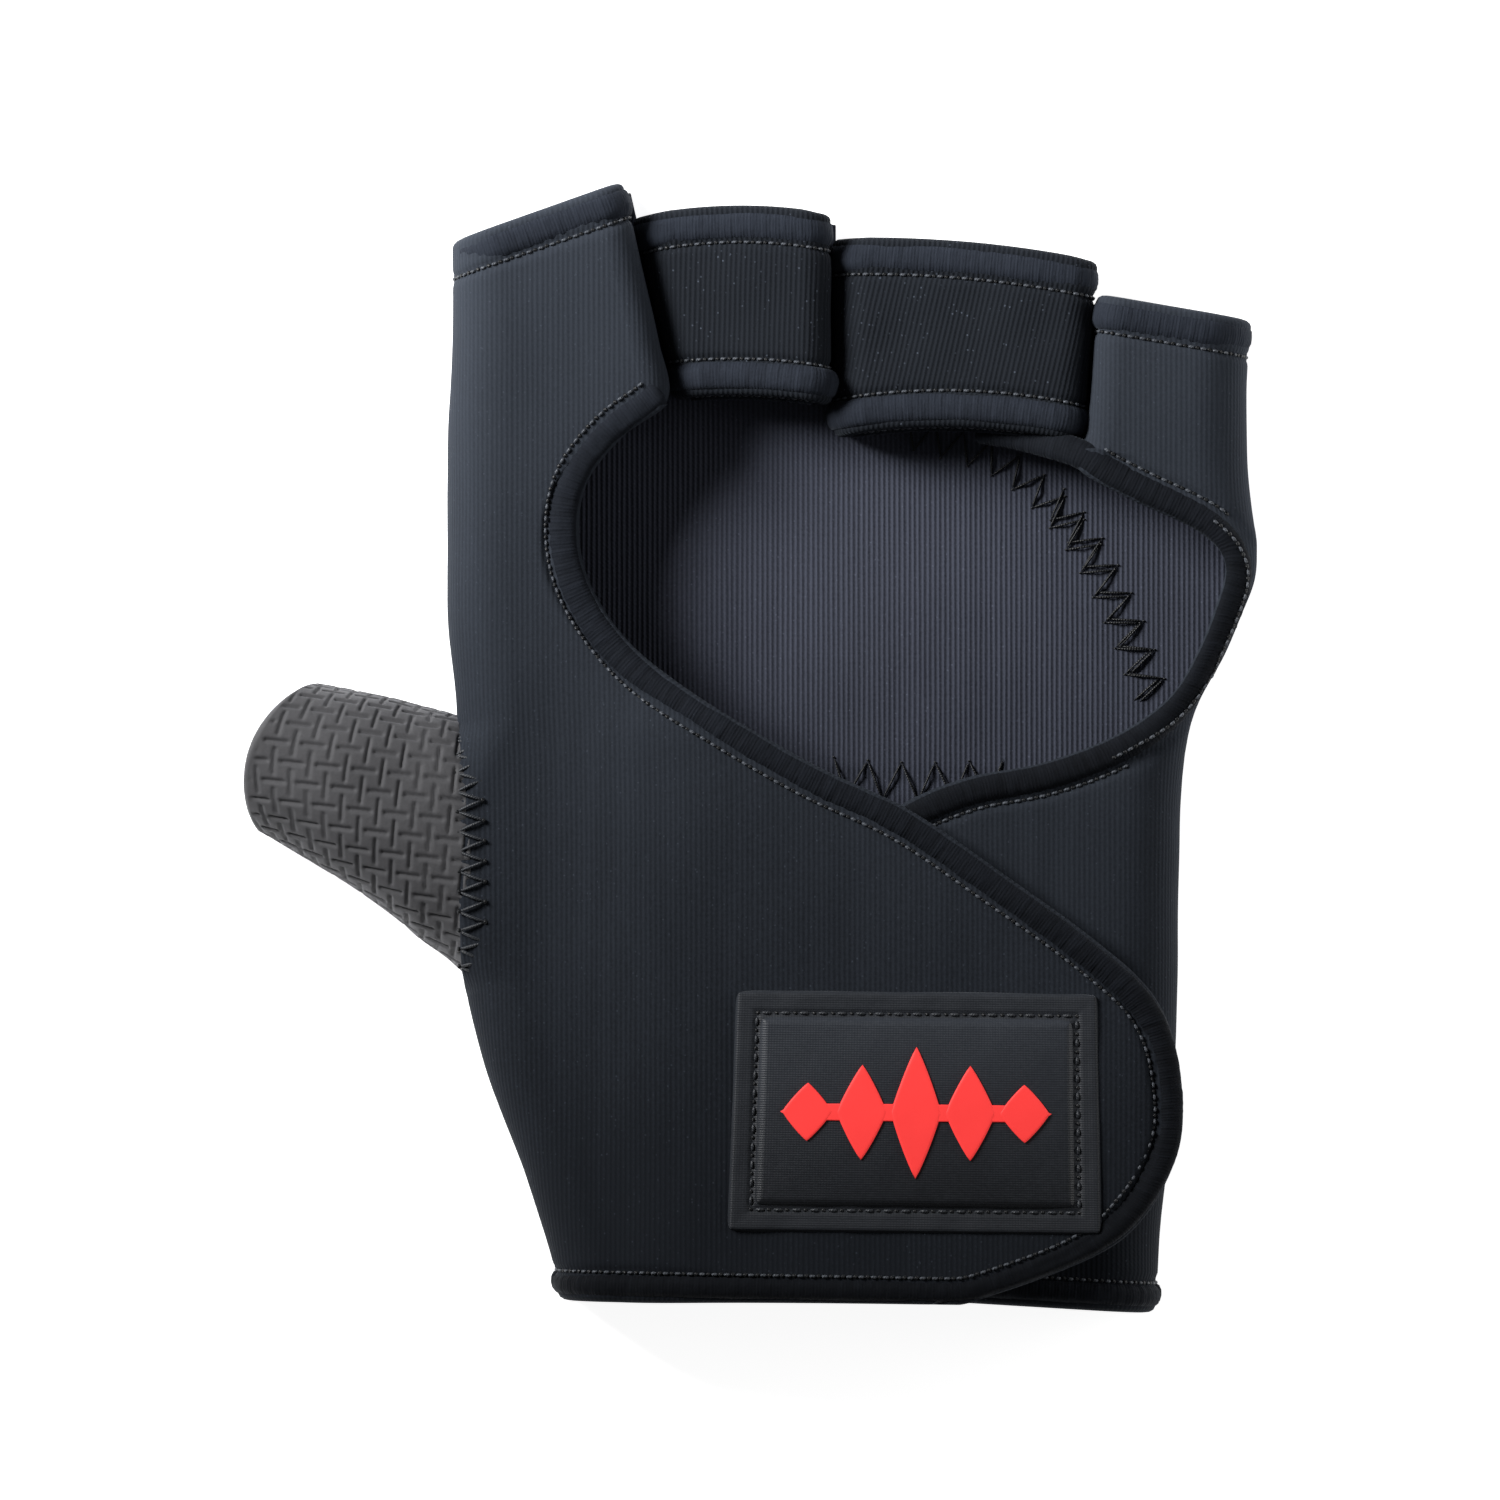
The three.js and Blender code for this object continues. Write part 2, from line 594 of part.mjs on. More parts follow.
// Mouth hems: closed rings round the four finger holes
function hemRing(spec) {
  const { left, right } = spec;
  const span = Math.hypot(right.x - left.x, right.y - left.y);
  const inward = [(right.y - left.y) / span, -(right.x - left.x) / span, 0];
  const stations = mouthStations(spec, inward);
  const place = (end, reach, depth) => [
    end.x + inward[1] * reach + inward[0] * depth, end.y - inward[0] * reach + inward[1] * depth,
  ];
  const slot = new THREE.Shape([
    place(left, 2 * WALL, -BINDING_WIDTH), place(right, -2 * WALL, -BINDING_WIDTH),
    place(right, -2 * WALL, BINDING_WIDTH + GAP), place(left, 2 * WALL, BINDING_WIDTH + GAP),
  ].map(([x, y]) => new THREE.Vector2(x, y)));
  return {
    ring: barSolid(stations, tapeOutline(WALL), true),
    room: barSolid(archStations(spec, inward, 0), roomOutline(WALL), false),
    slot: extruded(slot, -1, PALM_WALL + 2),
  };
}

const hems = {
  index: hemRing(backAt(0)),
  middle: hemRing(middleAt(0)),
  ring: hemRing(ringAt(0)),
  little: hemRing(littleAt(0)),
};

// A bound edge that is open at both ends
function boundEdge(stations, floor = SEAM_Z) {
  return {
    bar: barSolid(stations, tapeOutline(WALL), false, floor),
    room: barSolid(lengthened(stations, 2 * GAP), roomOutline(WALL), false),
  };
}

function bandBinding(specAt) {
  const points = section(specAt(1), 4, 9).map(({ point }) => point);
  return boundEdge(edgeStations(points, 1));
}

const middleLow = bandBinding(middleAt);
const ringLow = bandBinding(ringAt);

// The strap's binding: along the opening, round the strap's end, then along the wrist
const wristRow = section(backAt(lastBack), 5, 12).map(({ point }) => point).reverse();
const strapEdge = [
  ...innerEdge(backAt, 'right', BACK_CROTCH + 0.05, lastBack - 0.4, 46),
  ...wristRow.slice(6),
].filter(([, , z]) => z > PALM_WALL + TAPE + GAP);
const strapBound = boundEdge(edgeStations(thinned(strapEdge, STATION), -1));

const littleSteps = 34;
const littleEdge = innerEdge(littleAt, 'left', LITTLE_CROTCH + 1, LITTLE_BINDING_END, littleSteps);
const littleRolls = range(LITTLE_CROTCH + 1, LITTLE_BINDING_END, littleSteps).map(
  (t) => through(LITTLE_ROLL, t),
);
const littleBound = boundEdge(edgeStations(littleEdge, 1, littleRolls));

const littleWrist = section(littleAt(lastLittle), 5, 8).map(({ point }) => point)
  .filter(([, , z]) => z > PALM_WALL + TAPE + GAP);
const littleHem = boundEdge(edgeStations(thinned(littleWrist, STATION), 1));

// The palm's outline, counterclockwise from the index finger's hem down the thumb side
const outerPoints = (specAt, side, last) => range(0, last, last * 2).map((t) => {
  const end = specAt(t)[side];
  return [end.x, end.y];
});
const hemPoints = (spec) => range(1, 0, 6).map((share) => planPoint(spec, share));
const palmLeft = outerPoints(backAt, 'left', lastBack);
const palmRight = outerPoints(littleAt, 'right', lastLittle);
palmRight.reverse();

// The palm's wrist edge, from its left corner to its right
const wristEdge = (steps) => range(0, 1, steps).map((share) => {
  const [a, b] = [palmLeft[palmLeft.length - 1], palmRight[0]];
  return [mix(a[0], b[0], share), mix(a[1], b[1], share) + WRIST_BOW * 4 * share * (1 - share)];
});
const palmOutline = [
  ...palmLeft,
  ...wristEdge(10).slice(1, -1),
  ...palmRight,
  ...hemPoints(littleAt(0)).slice(1),
  ...hemPoints(ringAt(0)),
  ...hemPoints(middleAt(0)),
  ...hemPoints(backAt(0)).slice(0, -1),
];

// The palm's wrist hem lies on the floor, between the two sides
const palmWristPoints = wristEdge(16).map(([x, y]) => [x, y, PALM_WALL - TAPE]);
const palmWrist = boundEdge(edgeStations(palmWristPoints, 1), 0);

// Slits that part the undersides of the fingers
function slit(points) {
  const half = FINGER_CLEARANCE / 2 - TAPE;
  const shape = new THREE.Shape([
    ...points.map(([x, y]) => new THREE.Vector2(x - half, y)),
    ...points.map(([x, y]) => new THREE.Vector2(x + half, y)).reverse(),
  ]);
  return extruded(shape, -1, PALM_WALL + 2);
}

const halfClearance = FINGER_CLEARANCE / 2;
const beyond = (points) => {
  const [a, b] = [points[0], points[1]];
  return [[a[0] + (a[0] - b[0]) * 4, a[1] + (a[1] - b[1]) * 4], ...points];
};
const middleFold = range(0, 1, 4).map((t) => {
  const spec = middleAt(t);
  return [spec.right.x + halfClearance, spec.right.y];
});
const slits = [
  slit(beyond(indexFold.map(([x, y]) => [x + halfClearance, y]))),
  slit(beyond(middleFold)),
  slit(beyond(littleFold.map(([x, y]) => [x - halfClearance, y]))),
];

function palmPanel() {
  const slots = [hems.index, hems.middle, hems.ring, hems.little].map(({ slot: room }) => room);
  return cut(palmPlate(palmOutline, PALM_WALL), [...slots, palmWrist.room, ...slits]);
}

function backPanel() {
  const sections = range(0, lastBack, 31).map((t) => section(backAt(t), 4, 10));
  return cut(wallSolid(sections, WALL), [hems.index.room, strapBound.room]);
}

function littlePanel() {
  const sections = range(0, lastLittle, 27).map((t) => section(widened(littleAt(t), 'left', 3 * WALL), 4, 7));
  return cut(wallSolid(sections, WALL), [hems.little.room, littleBound.room, littleHem.room]);
}

function band(specAt, hem, low) {
  const sections = range(0, 1, 3).map((t) => section(specAt(t), 4, 8));
  return cut(wallSolid(sections, WALL), [hem.room, low.room]);
}

// The thumb stall: rounded sections with a flat underside, open at both ends
function thumbStall() {
  const around = 22;
  const lengthSteps = 6;
  const loop = (t, wall) => {
    const read = (name) => through(column(THUMB_ROWS, name), t);
    const upper = [read('upperX') * WIDTH, read('upperY') * LENGTH];
    const lower = [read('lowerX') * WIDTH, read('lowerY') * LENGTH];
    const top = read('height') * BACK_TOP - wall;
    const span = Math.hypot(upper[0] - lower[0], upper[1] - lower[1]);
    const across = [(upper[0] - lower[0]) / span, (upper[1] - lower[1]) / span];
    const middle = [(upper[0] + lower[0]) / 2, (upper[1] + lower[1]) / 2];
    const level = Math.max(SEAM_Z, wall + 1);
    return range(0, 2 * Math.PI, around).slice(0, -1).map((angle) => {
      const power = Math.sin(angle) >= 0 ? 2 / THUMB_FULLNESS : 0.5;
      const flat = Math.abs(Math.cos(angle)) ** (2 / THUMB_FULLNESS) * Math.sign(Math.cos(angle));
      const offset = flat * (span / 2 - wall);
      const up = Math.abs(Math.sin(angle)) ** power;
      const z = Math.sin(angle) >= 0 ? mix(level, top, up) : mix(level, wall, up);
      const bow = read('bulge') * LENGTH * (1 - flat * flat) ** THUMB_TIP_ROUNDING;
      const y = middle[1] + across[1] * offset + across[0] * bow;
      const ruled = middle[0] + across[0] * offset - across[1] * bow;
      const seam = edgeX(palmLeft, y) - GAP;
      return [mix(seam, ruled, smooth(t)), y, z];
    });
  };
  const rings = [];
  for (const t of range(0, THUMB_ROWS.length - 1, lengthSteps)) rings.push(loop(t, 0));
  for (const t of range(0, THUMB_ROWS.length - 1, lengthSteps)) rings.push(loop(t, THUMB_WALL));
  const triangles = [];
  const half = lengthSteps + 1;
  const strip = (a, b) => {
    for (let i = 0; i < around; i += 1) {
      const k = (i + 1) % around;
      triangles.push(...quad(a * around + i, a * around + k, b * around + k, b * around + i));
    }
  };
  for (let j = 0; j < lengthSteps; j += 1) {
    strip(j, j + 1);
    strip(half + j + 1, half + j);
  }
  strip(half, 0);
  strip(lengthSteps, half + lengthSteps);
  return solid(rings.flat(), triangles);
}

// Fastener and label, stacked on the wrist
function onStrap(geometry) {
  geometry.rotateZ(THREE.MathUtils.degToRad(LABEL_TURN));
  geometry.translate(LABEL_X, LABEL_Y, 0);
  return geometry;
}

const labelZ = STRAP_TOP + GAP;
const cushionZ = labelZ + LABEL_THICKNESS + GAP / 3;
const motifZ = cushionZ + CUSHION_THICKNESS + GAP / 3;

function hookPad() {
  const shape = roundedOblong(HOOK_PAD_LENGTH, HOOK_PAD_WIDTH, 3);
  const geometry = extruded(shape, BACK_TOP + GAP, HOOK_PAD_THICKNESS);
  return onStrap(geometry.translate(0.05 * WIDTH, 0, 0));
}

function labelBase() {
  return onStrap(extruded(roundedOblong(LABEL_LENGTH, LABEL_WIDTH, 1.2), labelZ, LABEL_THICKNESS));
}

function labelCushion() {
  const shape = roundedOblong(LABEL_LENGTH - 2 * LABEL_MARGIN, LABEL_WIDTH - 2 * LABEL_MARGIN, 1.5);
  return onStrap(extruded(shape, cushionZ, CUSHION_THICKNESS));
}

// A row of diamonds on a thin bar, the middle one largest
function labelMotif() {
  const bar = roundedOblong(MOTIF_LENGTH, MOTIF_BAR, MOTIF_BAR / 3);
  const parts = [extruded(bar, motifZ, MOTIF_THICKNESS)];
  const pitch = MOTIF_LENGTH / MOTIF_DIAMONDS;
  for (let i = 0; i < MOTIF_DIAMONDS; i += 1) {
    const place = i - (MOTIF_DIAMONDS - 1) / 2;
    const share = 1 - 0.28 * Math.abs(place);
    const [w, h] = [0.46 * pitch, 0.5 * MOTIF_HEIGHT * share];
    const x = place * pitch;
    const diamond = new THREE.Shape([
      new THREE.Vector2(x - w, 0), new THREE.Vector2(x, -h),
      new THREE.Vector2(x + w, 0), new THREE.Vector2(x, h),
    ]);
    parts.push(extruded(diamond, motifZ, MOTIF_THICKNESS));
  }
  return onStrap(joined(parts));
}

const glove = new THREE.Group();
glove.add(
  piece('palm_panel', palmPanel(), GRIP, 0.85),
  piece('back_panel', backPanel(), NEOPRENE, 0.9),
  piece('little_panel', littlePanel(), NEOPRENE, 0.9),
  piece('middle_band', band(middleAt, hems.middle, middleLow), NEOPRENE, 0.9),
  piece('ring_band', band(ringAt, hems.ring, ringLow), NEOPRENE, 0.9),
  piece('thumb_stall', thumbStall(), GRIP, 0.8),
  piece('index_hem', hems.index.ring, BINDING, 0.8),
  piece('middle_hem', hems.middle.ring, BINDING, 0.8),
  piece('ring_hem', hems.ring.ring, BINDING, 0.8),
  piece('little_hem', hems.little.ring, BINDING, 0.8),
  piece('middle_band_binding', middleLow.bar, BINDING, 0.8),
  piece('ring_band_binding', ringLow.bar, BINDING, 0.8),
  piece('strap_binding', strapBound.bar, BINDING, 0.8),
  piece('little_binding', littleBound.bar, BINDING, 0.8),
  piece('little_wrist_hem', littleHem.bar, BINDING, 0.8),
  piece('palm_wrist_hem', palmWrist.bar, BINDING, 0.8),
  piece('hook_pad', hookPad(), LABEL_CLOTH, 0.9),
  piece('label_base', labelBase(), LABEL_CLOTH, 0.5),
  piece('label_cushion', labelCushion(), LABEL_CLOTH, 0.45),
  piece('label_motif', labelMotif(), RED, 0.5),
);

export default glove;
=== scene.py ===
"""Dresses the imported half-finger fitness glove: ribbed neoprene, bound edges, stitches, an
embossed thumb and a sewn label, on a pale floor. The sizes are in millimetres until a mesh is made."""
import collections
import math

import bmesh
import bpy
import numpy as np
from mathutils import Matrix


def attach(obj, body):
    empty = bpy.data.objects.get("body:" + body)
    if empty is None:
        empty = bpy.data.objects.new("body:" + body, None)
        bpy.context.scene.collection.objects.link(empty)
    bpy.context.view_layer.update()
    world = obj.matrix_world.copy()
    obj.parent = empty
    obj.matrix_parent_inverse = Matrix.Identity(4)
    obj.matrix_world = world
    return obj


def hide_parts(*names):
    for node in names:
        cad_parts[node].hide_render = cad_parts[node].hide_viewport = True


bl_info = {
    "name": "Half-finger fitness glove",
    "version": (1, 0, 0),
    "blender": (4, 5, 0),
    "location": "View3D > Sidebar > Glove",
    "description": "Builds a ribbed neoprene fitness glove piece by piece on its packed frame",
    "category": "Object",
}

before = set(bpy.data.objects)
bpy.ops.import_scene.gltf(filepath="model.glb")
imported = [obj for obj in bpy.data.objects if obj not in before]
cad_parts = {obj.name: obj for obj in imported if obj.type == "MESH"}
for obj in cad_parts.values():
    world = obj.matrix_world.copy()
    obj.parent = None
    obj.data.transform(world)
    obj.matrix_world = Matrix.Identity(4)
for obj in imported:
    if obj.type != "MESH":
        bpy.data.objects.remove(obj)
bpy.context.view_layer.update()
MM = 0.001

# Sizes in millimetres: the whole glove, its walls, tapes and rooms
LENGTH = 145.6
WIDTH = 131.6
WALL = 2.5
PALM_WALL = 2.5
THUMB_WALL = 2.0
HAND_ROOM = 10.5
FINGER_ROOM = 9.5
GAP = 0.3
TAPE = 0.6
BINDING_WIDTH = 3.6
STITCH_INSET = 4.0
WRIST_NARROWING = 0.22
MOUTH_PROUD = 0.35
MOUTH_CORNER = 1.6
WRIST_INSET = STITCH_INSET * (1 - WRIST_NARROWING)
LIP_REACH = 1.3
CROTCH_RUN = 0.15
SIDE_RADIUS = 8.0
FOLD_RADIUS = 3.6
EDGE_DIP = 0.3
NARROW_DIP = 0.05
NARROW_SPANS = (8, 4)
MOST_ROUNDING = 0.86
BAND_LEAN = 3.0
STRAP_DROOP = 2.2
HOOK_PAD = (28.0, 23.0, 1.2)
SEAM_Z = PALM_WALL + GAP
BACK_TOP = PALM_WALL + HAND_ROOM + WALL
STRAP_TOP = BACK_TOP + GAP + HOOK_PAD[2] + GAP + WALL
BAND_TOP = PALM_WALL + FINGER_ROOM + WALL
FOLD_STANDOFF = 0.1
SLIT_SHIFT = 0.9
BAND_TUCK = 0.3
CLEAR_OF_PALM = PALM_WALL + TAPE + GAP
LOWEST_TAPE = SEAM_Z - 0.2
PATH_STEP = 0.5

# The label: its size and place, how far in it is sewn, its padding's border, and the motif on it
LABEL = (47.6, 31.2)
LABEL_CENTRE = (0.1625 * WIDTH, -0.3212 * LENGTH)
LABEL_TURN = -0.6
LABEL_TAPER = 0.0011
LABEL_BASE = STRAP_TOP - 0.15
LABEL_SEWN = 2.9
LABEL_STITCH = 2.3
CORNER_PULL = 0.36
PAD_BORDER = 3.3
PAD_BASE = LABEL_BASE + 0.55
MOTIF = (35.0, 17.0)
MOTIF_BAR = 2.2
MOTIF_PROUD = 0.34
MOTIF_SUNK = 0.26
DIAMONDS = 5
DIAMOND_HALF = 0.46
DIAMOND_POWER = 1.12
DIAMOND_SHRINK = 0.28
BAR_POWER = 8.0
BAR_LOWER = 0.06

# The thumb's superellipses and emboss, the wrist's bow, and where the back rises to the strap and droops
THUMB_FULLNESS = 2.6
THUMB_TIP_ROUNDING = 0.7
EMBOSS_PITCH = (2.35, 2.6)
EMBOSS_TURN = math.radians(6)
WRIST_BOW = 2.2
RISE_X = (-0.228 * WIDTH, -0.046 * WIDTH)
RISE_Y = (0.137 * LENGTH, 0.0)
DROOP_X = 0.357 * WIDTH
DROOP_REACH = 0.068 * WIDTH

# y where the tapes along the wrist start to narrow and where they are narrow, and the lowest y at which
# the slits beside the index and the little finger follow the folds above them
TAPER_Y = (-60, -68)
SLIT_FEET = (42, 38)

# In radians, between one wave of a ripple and the next
GOLDEN_TURN = 2.39996

# Fixed colours: the sheen of knit cloth and of satin, and lint
COOL_SHEEN = (0.75, 0.85, 1.0, 1)
SATIN_SHEEN = (0.85, 0.9, 1.0, 1)
LINT = (0.35, 0.36, 0.38, 1)

# Painted shade: how fast the cloth's colour darkens towards the wrist, per metre, for the light's fall-off
PAINTED_WRIST_SHADE = 9.0

# In metres: borders closer than this are merged; the camera's height and what it sees across
MERGE_DISTANCE = 2e-6
CAMERA_HEIGHT = 2.5
FRAME_WIDTH = 0.195

# The fingers in order, the two with bands, how far the bands' ribs lean, and the palm strips' columns
FINGERS = ("index", "middle", "ring", "little")
BAND_NAMES = FINGERS[1:3]
RIB_LEAN = (-0.03, -0.23)
PALM_COLUMNS = (28, 28, 36, 24)

# Zigzags: pitch and width in millimetres, and the share of its pitch at which each starts
SIDE_ZIGZAG = (3.7, 4.2, 0.0)
SECOND_ZIGZAG = (3.9, 4.0, 0.3)
WRIST_ZIGZAG = (4.5, 5.0, 0.0)
THUMB_ZIGZAG = (2.6, 3.4, 0.0)

# Columns: x and y of the glove's own edge, x and y of the fold or opening, and the side's
# rounding, as shares of WIDTH, LENGTH and SIDE_RADIUS
BACK_ROWS = np.array([
    [-0.2925, 0.4464, -0.1235, 0.5000, 0.81],
    [-0.2925, 0.3846, -0.1060, 0.4320, 0.88],
    [-0.2938, 0.3297, -0.0889, 0.3640, 0.94],
    [-0.2971, 0.2816, -0.0798, 0.3125, 1.00],
    [-0.2986, 0.2370, -0.1277, 0.2775, 1.00],
    [-0.2986, 0.1957, -0.1641, 0.2335, 1.00],
    [-0.2979, 0.1511, -0.1695, 0.1786, 1.00],
    [-0.2964, 0.1065, -0.1482, 0.1271, 1.00],
    [-0.2903, 0.0481, -0.1011, 0.0769, 1.00],
    [-0.2872, -0.0137, -0.0228, 0.0295, 1.00],
    [-0.2834, -0.0824, 0.0646, -0.0158, 1.00],
    [-0.2827, -0.1511, 0.1558, -0.0549, 1.00],
    [-0.2815, -0.2060, 0.2470, -0.1113, 1.00],
    [-0.2640, -0.2713, 0.3343, -0.1683, 1.00],
    [-0.2420, -0.3297, 0.3974, -0.2218, 1.00],
    [-0.2211, -0.3777, 0.4215, -0.2885, 1.00],
    [-0.2052, -0.4190, 0.4164, -0.3640, 1.00],
    [-0.1945, -0.4533, 0.3560, -0.4380, 1.00],
    [-0.1890, -0.4835, 0.2160, -0.4900, 1.00],
])

# The row of its crotch, where its inner side leaves the palm and becomes a free edge
BACK_CROTCH = 3.0

# The little finger's side, in the same columns, and the row of its crotch
LITTLE_ROWS = np.array([
    [0.4932, 0.3764, 0.3404, 0.3998, 0.88],
    [0.4886, 0.3228, 0.3359, 0.3434, 0.88],
    [0.4901, 0.2679, 0.3300, 0.2850, 0.88],
    [0.4924, 0.2335, 0.3235, 0.2514, 0.88],
    [0.4954, 0.2060, 0.3746, 0.2232, 0.75],
    [0.4985, 0.1820, 0.4422, 0.1937, 0.50],
    [0.4962, 0.1511, 0.4681, 0.1648, 0.40],
    [0.4833, 0.1202, 0.4574, 0.1236, 0.40],
    [0.4662, 0.0838, 0.4384, 0.0824, 0.40],
    [0.4407, 0.0412, 0.4119, 0.0453, 0.42],
    [0.4293, 0.0034, 0.3609, 0.0124, 0.75],
    [0.4248, -0.0446, 0.2888, -0.0124, 1.00],
    [0.4233, -0.0962, 0.2128, -0.0261, 1.00],
    [0.4217, -0.1511, 0.1444, -0.0536, 1.00],
    [0.4210, -0.2060, 0.0912, -0.1030, 1.00],
    [0.4179, -0.2679, 0.0760, -0.1923, 1.00],
    [0.4134, -0.3365, 0.0760, -0.2885, 1.00],
    [0.4065, -0.4121, 0.0760, -0.3846, 1.00],
    [0.3982, -0.4955, 0.0760, -0.4780, 1.00],
])
LITTLE_CROTCH = 2.3

# Degrees by which the little side's tape tips down at each row, the rows where it starts and ends, and
# the row from which the strap's tape lies on its panel
LITTLE_ROLL = [0, 0, 0, 0, 0, 12, 30, 34, 34, 24, 6, 0, 0, 0, 0, 0, 0, 0, 0]
LITTLE_TAPE_START = 3.0
LITTLE_BINDING_END = 13.5
STRAP_TAPE_ROW = 10.5

# x over which the strap's tape comes down onto its panel
STRAP_SEAT_X = (30, 40)

# Rows of the little side's stitches: level above, round the rolled part, and below it
UPPER_ROWS = (3.1, 5.2)
ROLLED_ROWS = (5.0, 10.2)
LOWER_ROWS = (10.0, 20.0)
ROLLED_INSET = 2.3

# Rows of the back between which the thumb's seam lies
THUMB_SEAM_ROWS = (8, 14)

# A stitch's lift and arch; its needle hole's shift in pitches, half length and radius
STITCH_LIFT = 0.1
STITCH_ARCH = 0.14
HOLE_SHIFT = 0.22
HOLE_HALF = 0.36
HOLE_RADIUS = 0.28

# Where the little side's tape runs on under the ring band: x, y and z of its edge
TAPE_LEAD = np.array([[29.5, 39.8, 8.6], [34.6, 38.9, 10.8], [38.8, 37.7, 13.4]])

# Columns: hem y at both sides, lower edge y at both sides, both bulges, x of the fold
BAND_ROWS = [
    [0.4690, 0.4710, 0.3180, 0.3125, 0.0085, 0.0050, 0.0790, 0.0800],
    [0.4500, 0.4290, 0.2840, 0.2780, 0.0070, 0.0110, 0, 0],
]

# Columns: x and y of both sides of the stall, its height and its bulge
THUMB_ROWS = np.array([
    [-0.2888, 0.0261, -0.2804, -0.2180, 1.00, 0.000],
    [-0.3366, 0.0419, -0.3298, -0.1655, 1.04, 0.006],
    [-0.3875, 0.0536, -0.3997, -0.1181, 1.05, 0.014],
    [-0.4286, 0.0598, -0.4863, -0.0714, 0.98, 0.032],
])

# The two seams of the lining, as x and y of points along them
SIDE_SEAM = np.array([
    [20.0, 41.4], [26.5, 39.6], [32.9, 37.2], [38.0, 33.0], [42.2, 28.0], [45.6, 22.4],
    [48.3, 16.6], [50.4, 11.2], [52.2, 5.6],
])
WRIST_SEAM = np.array([[10.6, -3.4], [16.0, -3.9], [21.0, -4.1], [27.0, -4.0], [33.5, -3.6]])


# Small helpers on arrays

def smooth(share):
    """Rises from 0 to 1 with level ends: 3 t squared less 2 t cubed."""
    t = np.clip(share, 0, 1)
    return t * t * (3 - 2 * t)


def mix(a, b, share):
    """A straight blend from a to b."""
    return a + (b - a) * share


def through(values, t):
    """A smooth curve through a column of numbers, read at t: a uniform Catmull-Rom cubic."""
    v = np.asarray(values, float)
    t = np.asarray(t, float)
    i = np.clip(np.floor(t).astype(int), 0, len(v) - 2)
    f = t - i
    a, b, c, d = (v[np.clip(i + k, 0, len(v) - 1)] for k in (-1, 0, 1, 2))
    square = 2 * a - 5 * b + 4 * c - d
    cube = 3 * b - a - 3 * c + d
    return 0.5 * (2 * b + (c - a) * f + square * f ** 2 + cube * f ** 3)


def curve_through(points, count):
    """The same smooth curve through points in space, at evenly spread parameters."""
    t = np.linspace(0, len(points) - 1, count)
    return np.stack([through(points[:, k], t) for k in range(points.shape[1])], -1)


def between(count):
    """Evenly spread shares from 0 to 1, both ends left out."""
    return np.linspace(0, 1, count)[1:-1]


def unit(vectors):
    """Each vector at length one."""
    return vectors / np.maximum(np.linalg.norm(vectors, axis=-1, keepdims=True), 1e-9)


def run_length(points, axis=0):
    """Distance travelled along one direction of a grid, starting from 0."""
    steps = np.linalg.norm(np.diff(points, axis=axis), axis=-1)
    start = np.zeros_like(np.take(steps, [0], axis=axis))
    return np.concatenate([start, np.cumsum(steps, axis=axis)], axis=axis)


def read_along(values, length, at):
    """Rows of three numbers read at given lengths of a path, straight between its points."""
    return np.stack([np.interp(at, length, values[:, k]) for k in range(3)], -1)


def resampled(points, step=PATH_STEP):
    """The polyline at equal steps of its length."""
    length = run_length(points)
    count = max(2, int(round(length[-1] / step)) + 1)
    return read_along(points, length, np.linspace(0, length[-1], count))


def softened(points, times):
    """Each inner point drawn halfway to the mean of its two neighbours, a number of times."""
    p = points.copy()
    for _ in range(times):
        p[1:-1] = 0.5 * p[1:-1] + 0.25 * (p[:-2] + p[2:])
    return p


def ripple(x, y, size, seed):
    """Gentle unevenness: the mean of six sine waves whose directions turn by the golden angle and
    whose lengths run from size to a third of it. Its phases come from a seeded generator."""
    phases = np.random.default_rng(seed).uniform(0, 2 * np.pi, 6)
    total = 0
    for k, phase in enumerate(phases):
        turn = GOLDEN_TURN * k + seed
        reach = size / (1 + 0.4 * k)
        total = total + np.sin(2 * np.pi * (x * np.cos(turn) + y * np.sin(turn)) / reach + phase)
    return total / 6


def groove(distance, at, half_width):
    """A bell-shaped dip, 1 deep, where distance equals at."""
    return -np.exp(-((distance - at) / half_width) ** 2)


# The glove's form

def back_height(x, y):
    """Level over the hand; smooth steps across and down lift it to the strap's height, and a
    squared droop lowers the strap's end."""
    across = smooth((x - RISE_X[0]) / (RISE_X[1] - RISE_X[0]))
    down = smooth((RISE_Y[0] - y) / (RISE_Y[0] - RISE_Y[1]))
    droop = np.maximum(0, x - DROOP_X) / DROOP_REACH
    return BACK_TOP + (STRAP_TOP - BACK_TOP) * across * down - STRAP_DROOP * droop ** 2


def level_height(x, y):
    """The hand's own height everywhere."""
    return np.full(np.shape(x), BACK_TOP)


def thumb_seam_z(y):
    """Height of the thumb's seam: an arch, a superellipse over the stall's width."""
    upper, lower = THUMB_ROWS[0, 1] * LENGTH, THUMB_ROWS[0, 3] * LENGTH
    share = np.minimum(np.abs(y - (upper + lower) / 2) / ((upper - lower) / 2), 1)
    arch = (1 - share ** THUMB_FULLNESS) ** (1 / THUMB_FULLNESS)
    return mix(SEAM_Z, BACK_TOP - EDGE_DIP / 4, arch)


